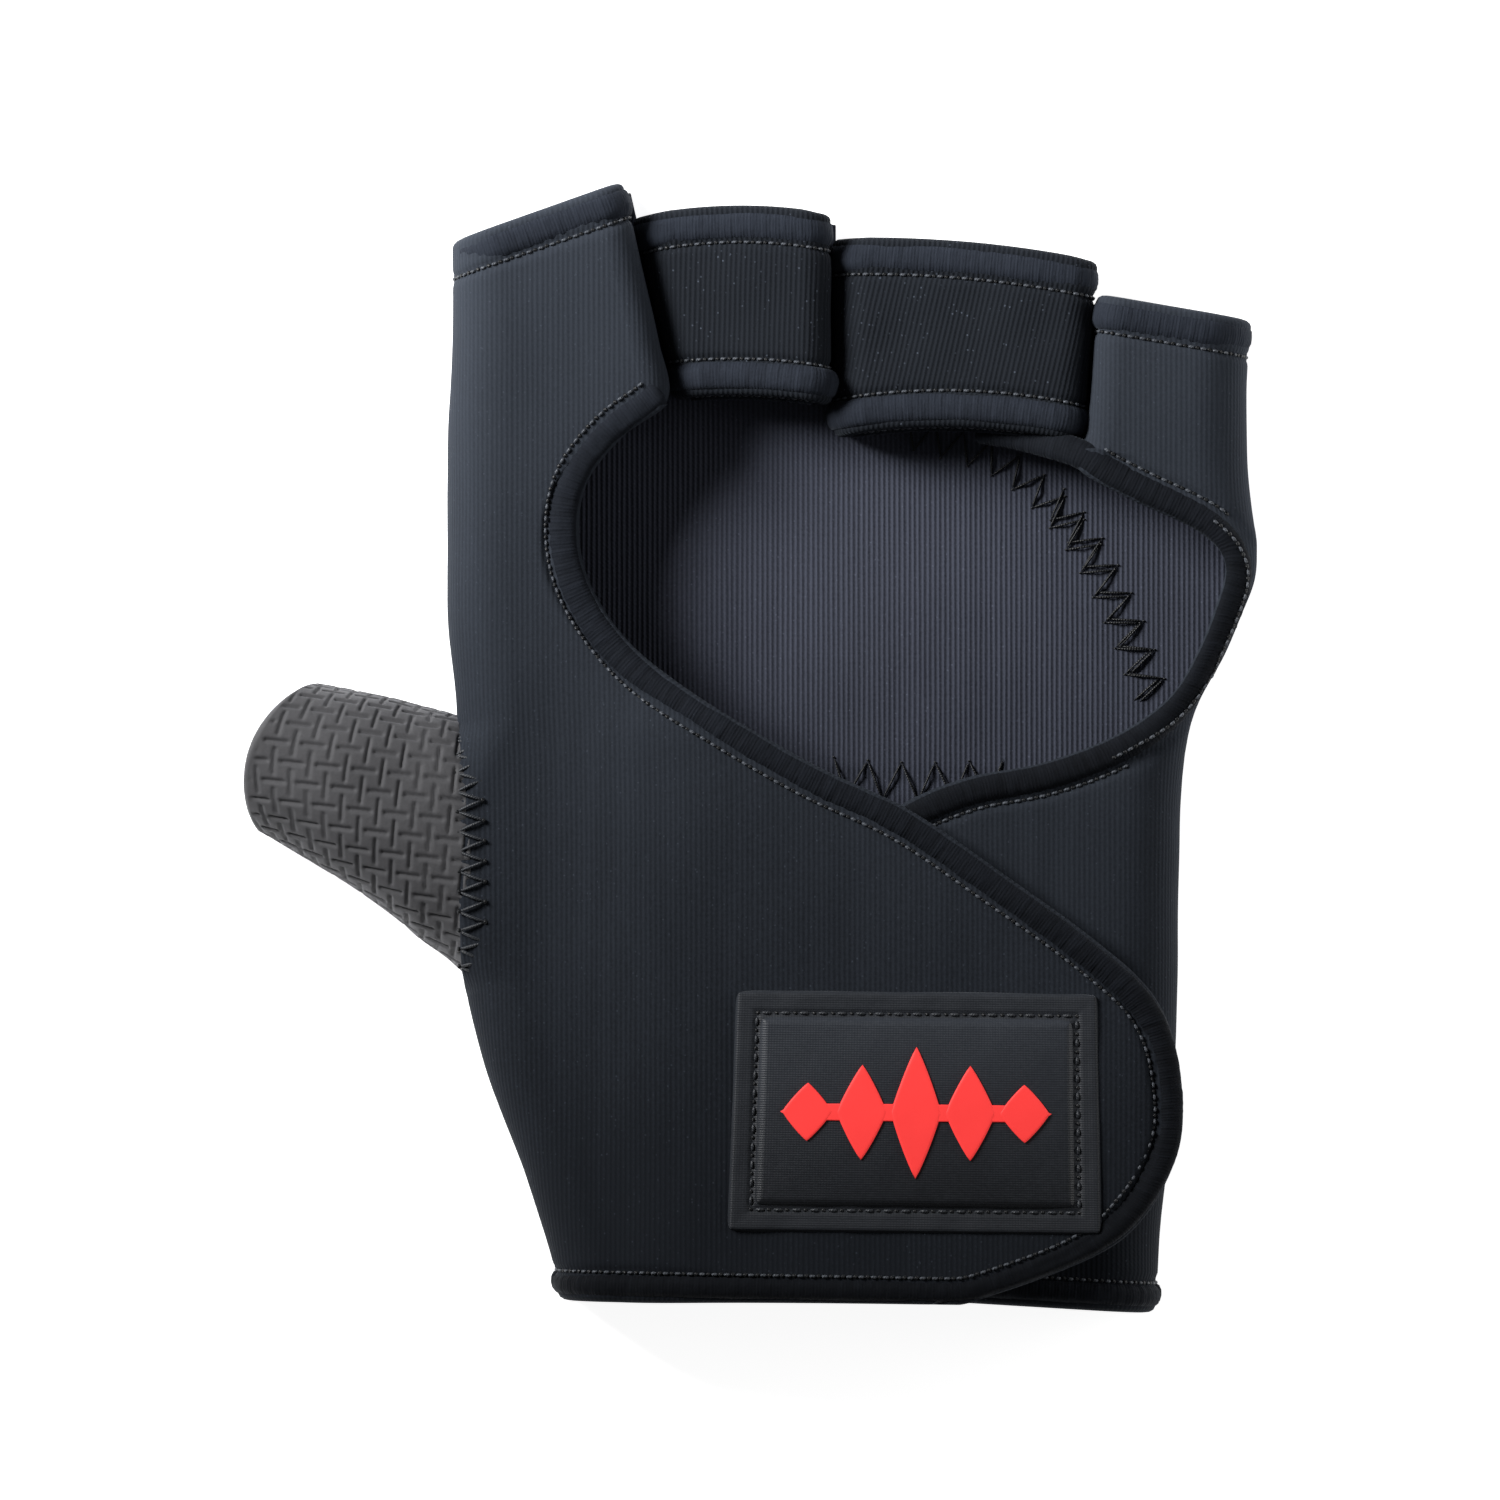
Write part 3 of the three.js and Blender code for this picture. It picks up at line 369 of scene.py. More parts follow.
def panel_spec(rows, t, height, outer_is_left, crotch):
    """Places, roundings and end heights of a panel's sections at the row numbers in t. The inner
    side stands on the palm down to the crotch, and from there on it is a free edge, which dips less
    where the panel is narrow."""
    outer_x, outer_y, inner_x, inner_y, rounding = (through(rows[:, k], t) for k in range(5))
    stand = 1 - smooth((t - crotch) / CROTCH_RUN)
    towards = -1 if outer_is_left else 1
    outer = np.stack([outer_x * WIDTH, outer_y * LENGTH], -1)
    inner = np.stack([inner_x * WIDTH + towards * stand * FOLD_STANDOFF, inner_y * LENGTH], -1)
    span = np.linalg.norm(outer - inner, axis=-1)
    narrow = smooth((NARROW_SPANS[0] - span) / (NARROW_SPANS[0] - NARROW_SPANS[1]))
    free = mix(EDGE_DIP, np.minimum(EDGE_DIP, NARROW_DIP * span), narrow)
    inner_end = mix(height(inner[:, 0], inner[:, 1]) - free, SEAM_Z, stand)
    outer_end = thumb_seam_z(outer[:, 1]) if outer_is_left else np.full(len(t), SEAM_Z)
    outer_part = (outer, np.minimum(rounding * SIDE_RADIUS, MOST_ROUNDING * span), outer_end)
    inner_part = (inner, np.full(len(t), FOLD_RADIUS), inner_end)
    left, right = (outer_part, inner_part) if outer_is_left else (inner_part, outer_part)
    return make_spec(left, right, np.zeros(len(t)), 0, height)


def make_spec(left, right, bulge, lean, height):
    """One record of a run of sections. left and right are (place, radius, end height)."""
    return {"left": left[0], "left_radius": left[1], "left_end": left[2], "right": right[0],
            "right_radius": right[1], "right_end": right[2], "bulge": bulge, "lean": lean, "height": height}


def spans(spec):
    """Length of each section in plan."""
    return np.linalg.norm(spec["right"] - spec["left"], axis=-1)[:, None]


def plan(spec, s):
    """The plan point at distance s along each section, bowed by a parabola."""
    a, way = spec["left"], spec["right"] - spec["left"]
    span = spans(spec)
    share = s / span
    bow = spec["bulge"][:, None] * 4 * share * (1 - share) / span
    x = a[:, :1] + way[:, :1] * share - way[:, 1:] * bow
    y = a[:, 1:] + way[:, 1:] * share + way[:, :1] * bow
    return x, y


def top_at(spec, s):
    """Height of the section's top at s, less the lean of its left shoulder."""
    x, y = plan(spec, s)
    return spec["height"](x, y) - spec["lean"] * (1 - smooth(s / spans(spec)))


def side_profile(top, end, radius, steps):
    """A side: straight up, then an arc over to the top, at equal steps of its length.
    Gives the distance inward, the height and the normal's two parts."""
    drop = np.maximum(top - end, 0.02)
    angle = np.arccos(np.clip(1 - drop / radius, 0, 1))
    tail = np.maximum(drop - radius, 0)
    length = np.linspace(0, 1, steps + 1)[None] * (tail + radius * angle)
    straight = length < tail
    phi = np.minimum(angle - (length - tail) / radius, angle)
    inward = np.where(straight, 0, radius * (np.sin(angle) - np.sin(phi)))
    z = np.where(straight, end + length, top - radius * (1 - np.cos(phi)))
    return inward, z, np.where(straight, -1, -np.sin(phi)), np.where(straight, 0, np.cos(phi))


def profile(spec, steps, shares):
    """Each whole section as distance, height and normal: a side, the top at the given shares, a side."""
    span = spans(spec)
    radius_left, radius_right = spec["left_radius"][:, None], spec["right_radius"][:, None]
    end_left, end_right = spec["left_end"][:, None], spec["right_end"][:, None]
    left = side_profile(top_at(spec, radius_left), end_left, radius_left, steps)
    right = side_profile(top_at(spec, span - radius_right), end_right, radius_right, steps)
    right = [part[:, ::-1] for part in right]
    start, stop = left[0][:, -1:], span - right[0][:, :1]
    off_left = left[1][:, -1:] - top_at(spec, start)
    off_right = right[1][:, :1] - top_at(spec, stop)
    share = shares[None]
    s = mix(start, stop, share)
    slope = top_at(spec, s + 0.5) - top_at(spec, s - 0.5)
    size = np.sqrt(slope ** 2 + 1)
    z = top_at(spec, s) + mix(off_left, off_right, share)
    return (
        np.concatenate([left[0], s, span - right[0]], 1),
        np.concatenate([left[1], z, right[1]], 1),
        np.concatenate([left[2], -slope / size, -right[2]], 1),
        np.concatenate([left[3], 1 / size, right[3]], 1),
    )


def placed(spec, s, z, along, up):
    """Section coordinates turned into points and normals in space."""
    x, y = plan(spec, s)
    way = (spec["right"] - spec["left"]) / spans(spec)
    points = np.stack([x, y, z], -1)
    normals = np.stack([way[:, :1] * along, way[:, 1:] * along, up], -1)
    return points, unit(normals)


def skin(spec, steps, shares):
    """Points and normals of the outer face over all the sections."""
    return placed(spec, *profile(spec, steps, shares))


def weave_map(points, column):
    """The fabric's own coordinates: across, the length of the section seen along y and level with
    x at one column; along, y."""
    flat = points[..., [0, 2]]
    across = run_length(flat, 1)
    u = across - across[:, column:column + 1] + points[:, column:column + 1, 0]
    return np.stack([u, points[..., 1]], -1)


def back_spec(t):
    """Sections of the back, from its hem at 0 to the wrist at the last row."""
    return panel_spec(BACK_ROWS, np.asarray(t, float), back_height, True, BACK_CROTCH)


def little_spec(t):
    """Sections of the little finger's side, counted as the back's are."""
    return panel_spec(LITTLE_ROWS, np.asarray(t, float), level_height, False, LITTLE_CROTCH)


LAST_ROW = len(BACK_ROWS) - 1


def end_points(spec, side):
    """The points at one end of each section."""
    return np.column_stack([spec[side], spec[side + "_end"]])


INDEX_FOLD = end_points(back_spec(np.linspace(0, BACK_CROTCH, 60)), "right")
LITTLE_FOLD = end_points(little_spec(np.linspace(0, LITTLE_CROTCH, 60)), "left")


def fold_x(points, y):
    """x at a given y along a fold whose y falls, carried on straight past its ends."""
    order = np.argsort(points[:, 1])
    ys, xs = points[order, 1], points[order, 0]
    low = (xs[1] - xs[0]) / (ys[1] - ys[0])
    high = (xs[-1] - xs[-2]) / (ys[-1] - ys[-2])
    inside = np.interp(y, ys, xs)
    return inside + low * np.minimum(y - ys[0], 0) + high * np.maximum(y - ys[-1], 0)


def middle_fold_x(t):
    """x of the fold between the two bands, from its hem at 0 to their lower edges at 1."""
    return mix(BAND_ROWS[0][6], BAND_ROWS[0][7], t) * WIDTH


def band_spec(which, t):
    """Sections of a finger's band from its hem, at 0, to its lower edge, at 1."""
    t = np.asarray(t, float)
    row = BAND_ROWS[which]
    left_y = mix(row[0], row[2], t) * LENGTH
    right_y = mix(row[1], row[3], t) * LENGTH
    if which == 0:
        left_x = fold_x(INDEX_FOLD, left_y) + BAND_TUCK
        right_x = middle_fold_x(t)
    else:
        left_x = middle_fold_x(t) + BAND_TUCK
        right_x = fold_x(LITTLE_FOLD, right_y) - BAND_TUCK
    full = np.ones(len(t))
    left = (np.stack([left_x, left_y], -1), 1.4 * FOLD_RADIUS * full, SEAM_Z * full)
    right = (np.stack([right_x, right_y], -1), FOLD_RADIUS * full, SEAM_Z * full)
    bulge = mix(row[4], row[5], t) * LENGTH
    return make_spec(left, right, bulge, BAND_LEAN, lambda x, y: np.full(np.shape(x), BAND_TOP))


def hem_specs():
    """The section at each finger's hem, from the index to the little finger."""
    return back_spec([0.0]), band_spec(0, [0.0]), band_spec(1, [0.0]), little_spec([0.0])


# Meshes

def grid_quads(rows, columns):
    """Corner numbers of the squares of a grid."""
    a = (np.arange(rows - 1)[:, None] * columns + np.arange(columns - 1)[None]).ravel()
    return np.stack([a, a + 1, a + columns + 1, a + columns], -1)


def make_piece(name, sheets, material, slot, node):
    """Puts grids into one mesh that takes the place of a node of the frame. Each sheet is (points, uv)
    or (points, uv, material number), points in millimetres; a uv of one row serves every row."""
    verts, faces, maps, marks, base = [], [], [], [], 0
    for points, uv, *number in sheets:
        quads = grid_quads(*points.shape[:2]) + base
        verts.append(points.reshape(-1, 3))
        maps.append(np.broadcast_to(uv, points.shape[:2] + (2,)).reshape(-1, 2))
        faces.append(quads)
        marks.append(np.full(len(quads), number[0] if number else 0))
        base += len(verts[-1])
    parts = [np.concatenate(part) for part in (verts, faces, maps, marks)]
    obj = put_mesh(name, *parts, material, slot)
    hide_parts(node)
    return obj


def put_mesh(name, verts, quads, uv, marks, materials, slot):
    """Writes whole arrays into a new mesh object that rides on the glove. Neighbouring borders are
    merged and the faces turned outwards."""
    mesh = bpy.data.meshes.new(name)
    mesh.vertices.add(len(verts))
    mesh.vertices.foreach_set("co", (verts * MM).astype(np.float32).ravel())
    mesh.loops.add(quads.size)
    mesh.loops.foreach_set("vertex_index", quads.astype(np.int32).ravel())
    mesh.polygons.add(len(quads))
    mesh.polygons.foreach_set("loop_start", np.arange(0, quads.size, 4, dtype=np.int32))
    mesh.polygons.foreach_set("material_index", marks.astype(np.int32))
    mesh.update(calc_edges=True)
    layer = mesh.uv_layers.new(name="weave")
    layer.data.foreach_set("uv", uv[quads.ravel()].astype(np.float32).ravel())
    work = bmesh.new()
    work.from_mesh(mesh)
    bmesh.ops.remove_doubles(work, verts=work.verts, dist=MERGE_DISTANCE)
    bmesh.ops.recalc_face_normals(work, faces=work.faces)
    work.to_mesh(mesh)
    work.free()
    mesh.polygons.foreach_set("use_smooth", np.ones(len(mesh.polygons), dtype=bool))
    for material in materials if isinstance(materials, list) else [materials]:
        mesh.materials.append(material)
    obj = bpy.data.objects.new(name, mesh)
    bpy.context.scene.collection.objects.link(obj)
    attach(obj, "root")
    return obj


def half_round(a, b, out):
    """A strip from edge a to edge b: the half ellipse about their middle whose depth is out."""
    turns = np.linspace(0, np.pi, 7)[:, None, None]
    return (a + b) / 2 + (a - b) / 2 * np.cos(turns) + out * np.sin(turns)


def shell(outer, normals, uv, wall):
    """The grids of a closed wall: its outer face, the same face moved in by the wall, and four
    rims, each half round from one face to the other."""
    wall = np.asarray(wall, float)
    wall = wall[:, None, None] if wall.ndim == 1 else wall
    inner = outer - normals * wall
    sheets = [(outer, uv), (inner, uv)]
    for edge, before in ((np.s_[:, 0], np.s_[:, 1]), (np.s_[:, -1], np.s_[:, -2]),
                         (np.s_[0], np.s_[1]), (np.s_[-1], np.s_[-2])):
        sheets.append((rim(outer[edge], inner[edge], outer[before]), uv[edge]))
    return sheets


def rim(a, b, before):
    """A half-round strip between two edges, bulging away from the edge before them. It ends flat at
    its own two corners, so that the wall stays closed."""
    reach = 0.32 * np.linalg.norm(a - b, axis=-1, keepdims=True)
    ends = np.minimum(np.arange(len(a)), np.arange(len(a))[::-1])
    return half_round(a, b, unit(a - before) * (reach * smooth(ends / 4)[:, None]))


def edge_frames(points, side, rolls=None):
    """Frames along a bound edge: inward lies level across the travel, tipped down by the roll in
    degrees; the normal is square to both. Where the travel is steep, the last level one is kept."""
    travel = unit(np.gradient(points, axis=0))
    level = np.stack([-travel[:, 1], travel[:, 0], np.zeros(len(points))], -1) * side
    known = np.linalg.norm(level, axis=-1) > 0.45
    held = np.maximum.accumulate(np.where(known, np.arange(len(points)), -1))
    held = np.where(held < 0, np.argmax(known), held)
    level = unit(level)[held]
    roll = np.radians(np.zeros(len(points)) if rolls is None else rolls)[:, None]
    inward = level * np.cos(roll) + np.array([0, 0, -1.0]) * np.sin(roll)
    inward = unit(inward - travel * np.sum(inward * travel, axis=-1, keepdims=True))
    return points, inward, np.cross(travel, inward) * side


def tape_outline(proud, steps=26):
    """The puffed tape round a wall, seen end on: a rounded lozenge whose free side is full and
    whose sewn side is drawn thin. It stands proud of both faces of the wall."""
    turn = np.linspace(0, 2 * np.pi, steps + 1)
    across, up = np.cos(turn), np.sin(turn)
    a = BINDING_WIDTH / 2 + (BINDING_WIDTH / 2 + 0.1) * np.sign(across) * np.abs(across) ** 0.8
    thin = 1 - 0.12 * smooth((a - 2.2) / 1.4)
    b = -WALL / 2 + (WALL / 2 + proud) * np.sign(up) * np.abs(up) ** 0.58 * thin
    return a, b


def tape_share(points):
    """How much of the tape's full width shows: all of it but along the wrist, where it is narrower."""
    return 1 - WRIST_NARROWING * smooth((TAPER_Y[0] - points[:, 1]) / (TAPER_Y[0] - TAPER_Y[1]))


def bound_tape(frames, sizes, seed, closed=False, floor=0.0, proud=TAPE + 0.1, seat=None):
    """The grid of a bound edge: the outline carried along the frames, or over the points and normals
    that seat gives for each distance in from the edge. Waves at the stitches' pitch, finer uneven
    creases and a broad swell raise its faces."""
    if closed:
        frames = [np.concatenate([part, part[:1]]) for part in frames]
    points, inward, normal = frames
    length = run_length(points)
    a, b = tape_outline(proud)
    loops = length[-1] / max(1, round(length[-1] / (sizes.stitch_pitch / MM)))
    waves = np.cos(2 * np.pi * length / loops)[:, None] * smooth((a - 1.2) / 1.8)[None]
    rough = ripple(length[:, None], 2.4 * np.arange(len(a))[None] * 0.3, 2.6, seed)
    broad = ripple(length[:, None], b[None], 17.0, seed + 5)
    if closed:
        fade = smooth(np.minimum(length, length[-1] - length) / 2)[:, None]
        rough, broad = rough * fade, broad * fade
    lift = sizes.crease_depth / MM * (0.55 * waves + 0.9 * rough + 1.2 * broad)
    rise = (b[None] + WALL / 2) * (1 + lift) - WALL / 2
    wide = a[None] * tape_share(points)[:, None]
    if seat is None:
        place, up = points[:, None] + inward[:, None] * wide[..., None], normal[:, None]
    else:
        place, up = seat(wide)
    grid = place + up * rise[..., None]
    if not closed:
        grid = capped(grid)
        length = np.concatenate([[length[0]] * 4, length, [length[-1]] * 4])
    grid[..., 2] = np.maximum(grid[..., 2], floor)
    around = run_length(np.stack([a, b], -1))
    return [(grid, np.stack(np.broadcast_arrays(length[:, None], around[None]), -1))]


def capped(grid):
    """A tube with both ends drawn to a point over a short dome: rings that shrink as a cosine while
    they move out as a sine."""
    def dome(ring, before):
        centre = ring[:-1].mean(axis=0)
        out = unit(centre - before[:-1].mean(axis=0))
        turns = np.radians([0, 30, 60, 90])[::-1]
        return [centre + (ring - centre) * np.cos(turn) + out * 0.9 * np.sin(turn) for turn in turns]
    start = np.stack(dome(grid[0], grid[1]))
    stop = np.stack(dome(grid[-1], grid[-2])[::-1])
    start[0] = start[0].mean(axis=0)
    stop[-1] = stop[-1].mean(axis=0)
    return np.concatenate([start, grid, stop])


def threads(starts, ends, ups, radius, rise, rings=7, sides=6):
    """Short bent threads, all at once. Each runs from its start to its end, arched by half a sine,
    and its radius falls to nothing at both ends. Gives points, quads and uv."""
    share = np.linspace(0, 1, rings)
    way = ends - starts
    side = unit(np.cross(ups, way))
    up = unit(np.cross(way, side))
    centre = starts[:, None] + way[:, None] * share[None, :, None]
    centre = centre + ups[:, None] * (rise * np.sin(np.pi * share))[None, :, None]
    thick = radius * np.sin(np.pi * share) ** 0.35
    thick[[0, -1]] = 0
    turn = np.linspace(0, 2 * np.pi, sides + 1)
    ring = side[:, None, None] * np.cos(turn)[None, None, :, None]
    ring = ring + up[:, None, None] * np.sin(turn)[None, None, :, None]
    points = centre[:, :, None] + ring * thick[None, :, None, None]
    count = rings * (sides + 1)
    quads = grid_quads(rings, sides + 1)[None] + count * np.arange(len(starts))[:, None, None]
    length = np.linalg.norm(way, axis=-1)[:, None, None] * share[None, :, None]
    uv = np.stack(np.broadcast_arrays(length, (turn * radius)[None, None]), -1)
    return points.reshape(-1, 3), quads.reshape(-1, 4), uv.reshape(-1, 2)


def put_threads(name, sets, material, slot="binding_tape"):
    """One object from several sets of threads."""
    bases = np.cumsum([0] + [len(points) for points, _, _ in sets])
    verts, maps = (np.concatenate([part[k] for part in sets]) for k in (0, 2))
    quads = np.concatenate([part[1] + base for part, base in zip(sets, bases)])
    put_mesh(name, verts, quads, maps, np.zeros(len(quads)), material, slot)


def stitch_line(path, ups, pitch, fill=0.56):
    """Starts, ends and ups of stitches at an even pitch along a path. Each fills a share of its pitch."""
    length = run_length(path)
    count = max(1, int(length[-1] // pitch))
    step = length[-1] / count
    first = (np.arange(count) + (1 - fill) / 2) * step
    middle_ups = read_along(ups, length, first + fill * step / 2)
    return read_along(path, length, first), read_along(path, length, first + fill * step), unit(middle_ups)


def row_at(points, normals, distance, value):
    """On each row of a grid, the point where distance equals value, and the normal there."""
    index = np.array([np.interp(value, d, np.arange(len(d))) for d in distance])
    low = np.clip(np.floor(index).astype(int), 0, points.shape[1] - 2)
    share = (index - low)[:, None]
    rows = np.arange(len(points))
    place = mix(points[rows, low], points[rows, low + 1], share)
    return place, unit(mix(normals[rows, low], normals[rows, low + 1], share))


def laid_on(line, points, normals):
    """A line carried onto a surface: each point moved along the normal of the surface's nearest
    point onto the tangent plane there. Gives the line and its normals."""
    flat, out = points.reshape(-1, 3), normals.reshape(-1, 3)
    gaps = np.sum(flat ** 2, axis=1)[None] - 2 * line @ flat.T
    nearest = np.argmin(gaps, axis=1)
    place, up = flat[nearest], out[nearest]
    return line - up * np.sum((line - place) * up, axis=-1, keepdims=True), up


def beside_tape(frames, face):
    """The stitch line just inside a tape, laid on the panel's face."""
    inset = STITCH_INSET * tape_share(frames[0])[:, None]
    return laid_on(frames[0] + frames[1] * inset, face.points, face.normals)


# Materials

class Graph:
    """A material's nodes, made in the order in which they are used."""

    def __init__(self, name):
        self.material = bpy.data.materials.new(name)
        self.material.use_nodes = True
        self.tree = self.material.node_tree
        self.tree.nodes.clear()
        self.shader = self.node("BsdfPrincipled")
        self.node("OutputMaterial", self.shader.outputs[0])

    def put(self, socket, value):
        """A value or a link into a socket."""
        if isinstance(value, bpy.types.NodeSocket):
            self.tree.links.new(value, socket)
        else:
            socket.default_value = value

    def node(self, kind, *values, **named):
        """A new node: values go into its first sockets in order, and the others by their names."""
        made = self.tree.nodes.new("ShaderNode" + kind)
        for socket, value in zip(made.inputs, values):
            self.put(socket, value)
        for name, value in named.items():
            self.put(made.inputs[name], value)
        return made

    def math(self, operation, a, b=0.0, c=0.0):
        """One operation on up to three numbers."""
        node = self.node("Math")
        node.operation = operation
        for socket, value in zip(node.inputs, (a, b, c)):
            self.put(socket, value)
        return node.outputs[0]

    def add(self, pattern, weight, base):
        """A pattern times its weight, plus the base."""
        return self.math("MULTIPLY_ADD", pattern, weight, base)

    def layered(self, base, *layers):
        """The base plus, for each layer, how far its pattern is from a half, times its weight."""
        for pattern, weight in layers:
            base = self.add(self.math("SUBTRACT", pattern, 0.5), weight, base)
        return base

    def wave(self, phase):
        """A sine wave between 0 and 1."""
        return self.add(self.math("SINE", phase), 0.5, 0.5)

    def weave(self):
        """Across and along the fabric, in millimetres, and both as one vector."""
        node = self.node("UVMap")
        node.uv_map = "weave"
        split = self.node("SeparateXYZ", node.outputs[0])
        return split.outputs[0], split.outputs[1], node.outputs[0]

    def place(self):
        """Place on the object, in metres."""
        return self.node("TexCoord").outputs["Object"]

    def towards_fingers(self):
        """Runs from below 0 at the wrist to above 0 at the fingers: y on the object."""
        return self.node("SeparateXYZ", self.place()).outputs[1]

    def stretched(self, vector, scale):
        """A vector with each part scaled by its own factor."""
        return self.node("Mapping", Vector=vector, Scale=scale).outputs[0]

    def noise(self, vector, scale, detail=2.0, rough=0.5):
        """Cloudy noise between 0 and 1, its cells one unit of the vector over the scale."""
        node = self.node("TexNoise", Vector=vector, Scale=scale, Detail=detail, Roughness=rough)
        return node.outputs["Fac"]

    def cells(self, vector, scale):
        """Distance to the nearest of many scattered points."""
        return self.node("TexVoronoi", Vector=vector, Scale=scale).outputs["Distance"]

    def range(self, value, low, high, to_low=0.0, to_high=1.0):
        """low to high carried onto to_low to to_high, and held there outside it."""
        return self.node("MapRange", value, low, high, to_low, to_high).outputs[0]

    def blend(self, share, a, b):
        """A blend of two colours."""
        node = self.node("Mix")
        node.data_type = "RGBA"
        for socket, value in ((0, share), (6, a), (7, b)):
            self.put(node.inputs[socket], value)
        return node.outputs[2]

    def shades(self, shade, low, high, colour, first, last):
        """A colour from its first tone to its last as shade runs from low to high."""
        return self.blend(self.range(shade, low, high), tone(colour, first), tone(colour, last))

    def bump(self, height, distance, strength):
        """The normal of a relief, whose distance is in millimetres."""
        return self.node("Bump", Height=height, Distance=distance * MM, Strength=strength).outputs[0]

    def glow(self, colour, strength):
        """Light of the material's own."""
        self.shader.inputs["Emission Color"].default_value = colour
        self.shader.inputs["Emission Strength"].default_value = strength

    def finish(self, colour, roughness, normal, specular, sheen=0.0, sheen_rough=0.5, tint=(1, 1, 1, 1)):
        """Sets or links the colour, roughness and normal, and sets the shader's constants on its sockets."""
        inputs = self.shader.inputs
        self.put(inputs["Base Color"], colour)
        self.put(inputs["Roughness"], roughness)
        if normal is not None:
            self.put(inputs["Normal"], normal)
        inputs["Specular IOR Level"].default_value = specular
        inputs["Sheen Weight"].default_value = sheen
        inputs["Sheen Roughness"].default_value = sheen_rough
        inputs["Sheen Tint"].default_value = tint
        return self.material


def tone(colour, factor):
    """A colour property made lighter or darker."""
    return tuple(min(1.0, c * factor) for c in colour[:3]) + (1.0,)


def ribbed_neoprene(name, colour, rib_pitch, contrast, depth, sheen, sparkle):
    """Warp-knit neoprene face: fine ribs along the fabric, knit loops across them, fuzz, slow
    changes of shade, painted glints of the knit, a few bits of lint and painted shade that darkens the wrist."""
    g = Graph(name)
    across, along, _ = g.weave()
    place = g.place()
    wander = g.noise(g.stretched(place, (900, 60, 60)), 1.0)
    phase = g.add(across, 2 * math.pi / rib_pitch, g.math("MULTIPLY", wander, 1.6))
    rib = g.wave(phase)
    loops = g.math("SINE", g.add(along, 2 * math.pi / (rib_pitch * 0.9), phase))
    fuzz = g.noise(place, 2600, 3.0, 0.65)
    slow = g.noise(place, 34, 3.0)
    uneven = g.noise(g.stretched(place, (420, 30, 420)), 1.0)
    shade = g.layered(0.45, (rib, contrast), (fuzz, 0.9), (slow, 0.45), (uneven, 0.35))
    # Painted shade: darker towards the wrist, for the light's fall-off
    shade = g.add(g.towards_fingers(), PAINTED_WRIST_SHADE, shade)
    body = g.shades(shade, -0.1, 1.1, colour, 0.5, 1.55)
    # Painted highlights: tiny specks, many times lighter than the cloth, as glints of the knit
    painted_glints = g.range(g.cells(place, 1150), 0.17, 0.08)
    chosen = g.range(g.noise(place, 700, 2.0, 0.6), 0.44, 0.56, 0, sparkle)
    body = g.blend(g.math("MULTIPLY", painted_glints, chosen), body, tone(colour, 8.0))
    lint = g.range(g.cells(place, 210), 0.035, 0.02)
    sparse = g.range(g.noise(place, 90, 1.0), 0.66, 0.7)
    body = g.blend(g.math("MULTIPLY", g.math("MULTIPLY", lint, sparse), 0.5), body, LINT)
    relief = g.add(fuzz, 0.5, g.add(loops, 0.10, rib))
    rough = g.range(fuzz, 0.2, 0.8, 0.78, 0.95)
    return g.finish(body, rough, g.bump(relief, depth, 0.8), 0.08, sheen, 0.45, COOL_SHEEN)


def binding_tape(name, colour):
    """Knitted binding tape: fine wales along it, cross creases where it bends and is sewn, worn
    fuzz on its rounded crest."""
    g = Graph(name)
    along, _, both = g.weave()
    place = g.place()
    wales = g.wave(g.math("MULTIPLY", along, 2 * math.pi / 0.42))
    creases = g.noise(g.stretched(both, (1.15, 0.16, 1)), 1.0, 3.0, 0.55)
    fuzz = g.noise(place, 3000, 3.0, 0.7)
    slow = g.noise(place, 60)
    # Painted shade: the creases' low places are also painted darker
    shade = g.layered(0.45, (creases, 1.2), (fuzz, 0.9), (wales, 0.16), (slow, 0.4))
    # Painted shade: darker towards the wrist, for the light's fall-off
    body = g.shades(g.add(g.towards_fingers(), PAINTED_WRIST_SHADE, shade), -0.1, 1.1, colour, 0.45, 1.6)
    relief = g.add(creases, 3.2, g.add(fuzz, 0.5, g.math("MULTIPLY", wales, 0.3)))
    return g.finish(body, 0.86, g.bump(relief, 0.1, 0.8), 0.12, 0.05, 0.4, COOL_SHEEN)


def basket(g, across, along):
    """The grip's emboss: dashes on a lattice, level where the two counts add to an even number and
    upright where they add to an odd one."""
    def dashes(a, b, odd):
        """Dashes along a: 1 near a whole count of b and within reach of a count of a, that fit the parity."""
        b_near = g.math("ROUND", b)
        parity = g.math("FLOORED_MODULO", g.math("ADD", b_near, odd), 2.0)
        half = g.math("DIVIDE", g.math("SUBTRACT", a, parity), 2.0)
        a_near = g.add(g.math("ROUND", half), 2.0, parity)
        off = g.math("ABSOLUTE", g.math("SUBTRACT", b, b_near))
        reach = g.math("ABSOLUTE", g.math("SUBTRACT", a, a_near))
        return g.math("MULTIPLY", g.range(off, 0.04, 0.15, 1, 0), g.range(reach, 0.62, 0.78, 1, 0))

    i, j = (g.math("DIVIDE", way, pitch) for way, pitch in zip((across, along), EMBOSS_PITCH))
    return g.math("MAXIMUM", dashes(i, j, 0.0), dashes(j, i, 1.0))


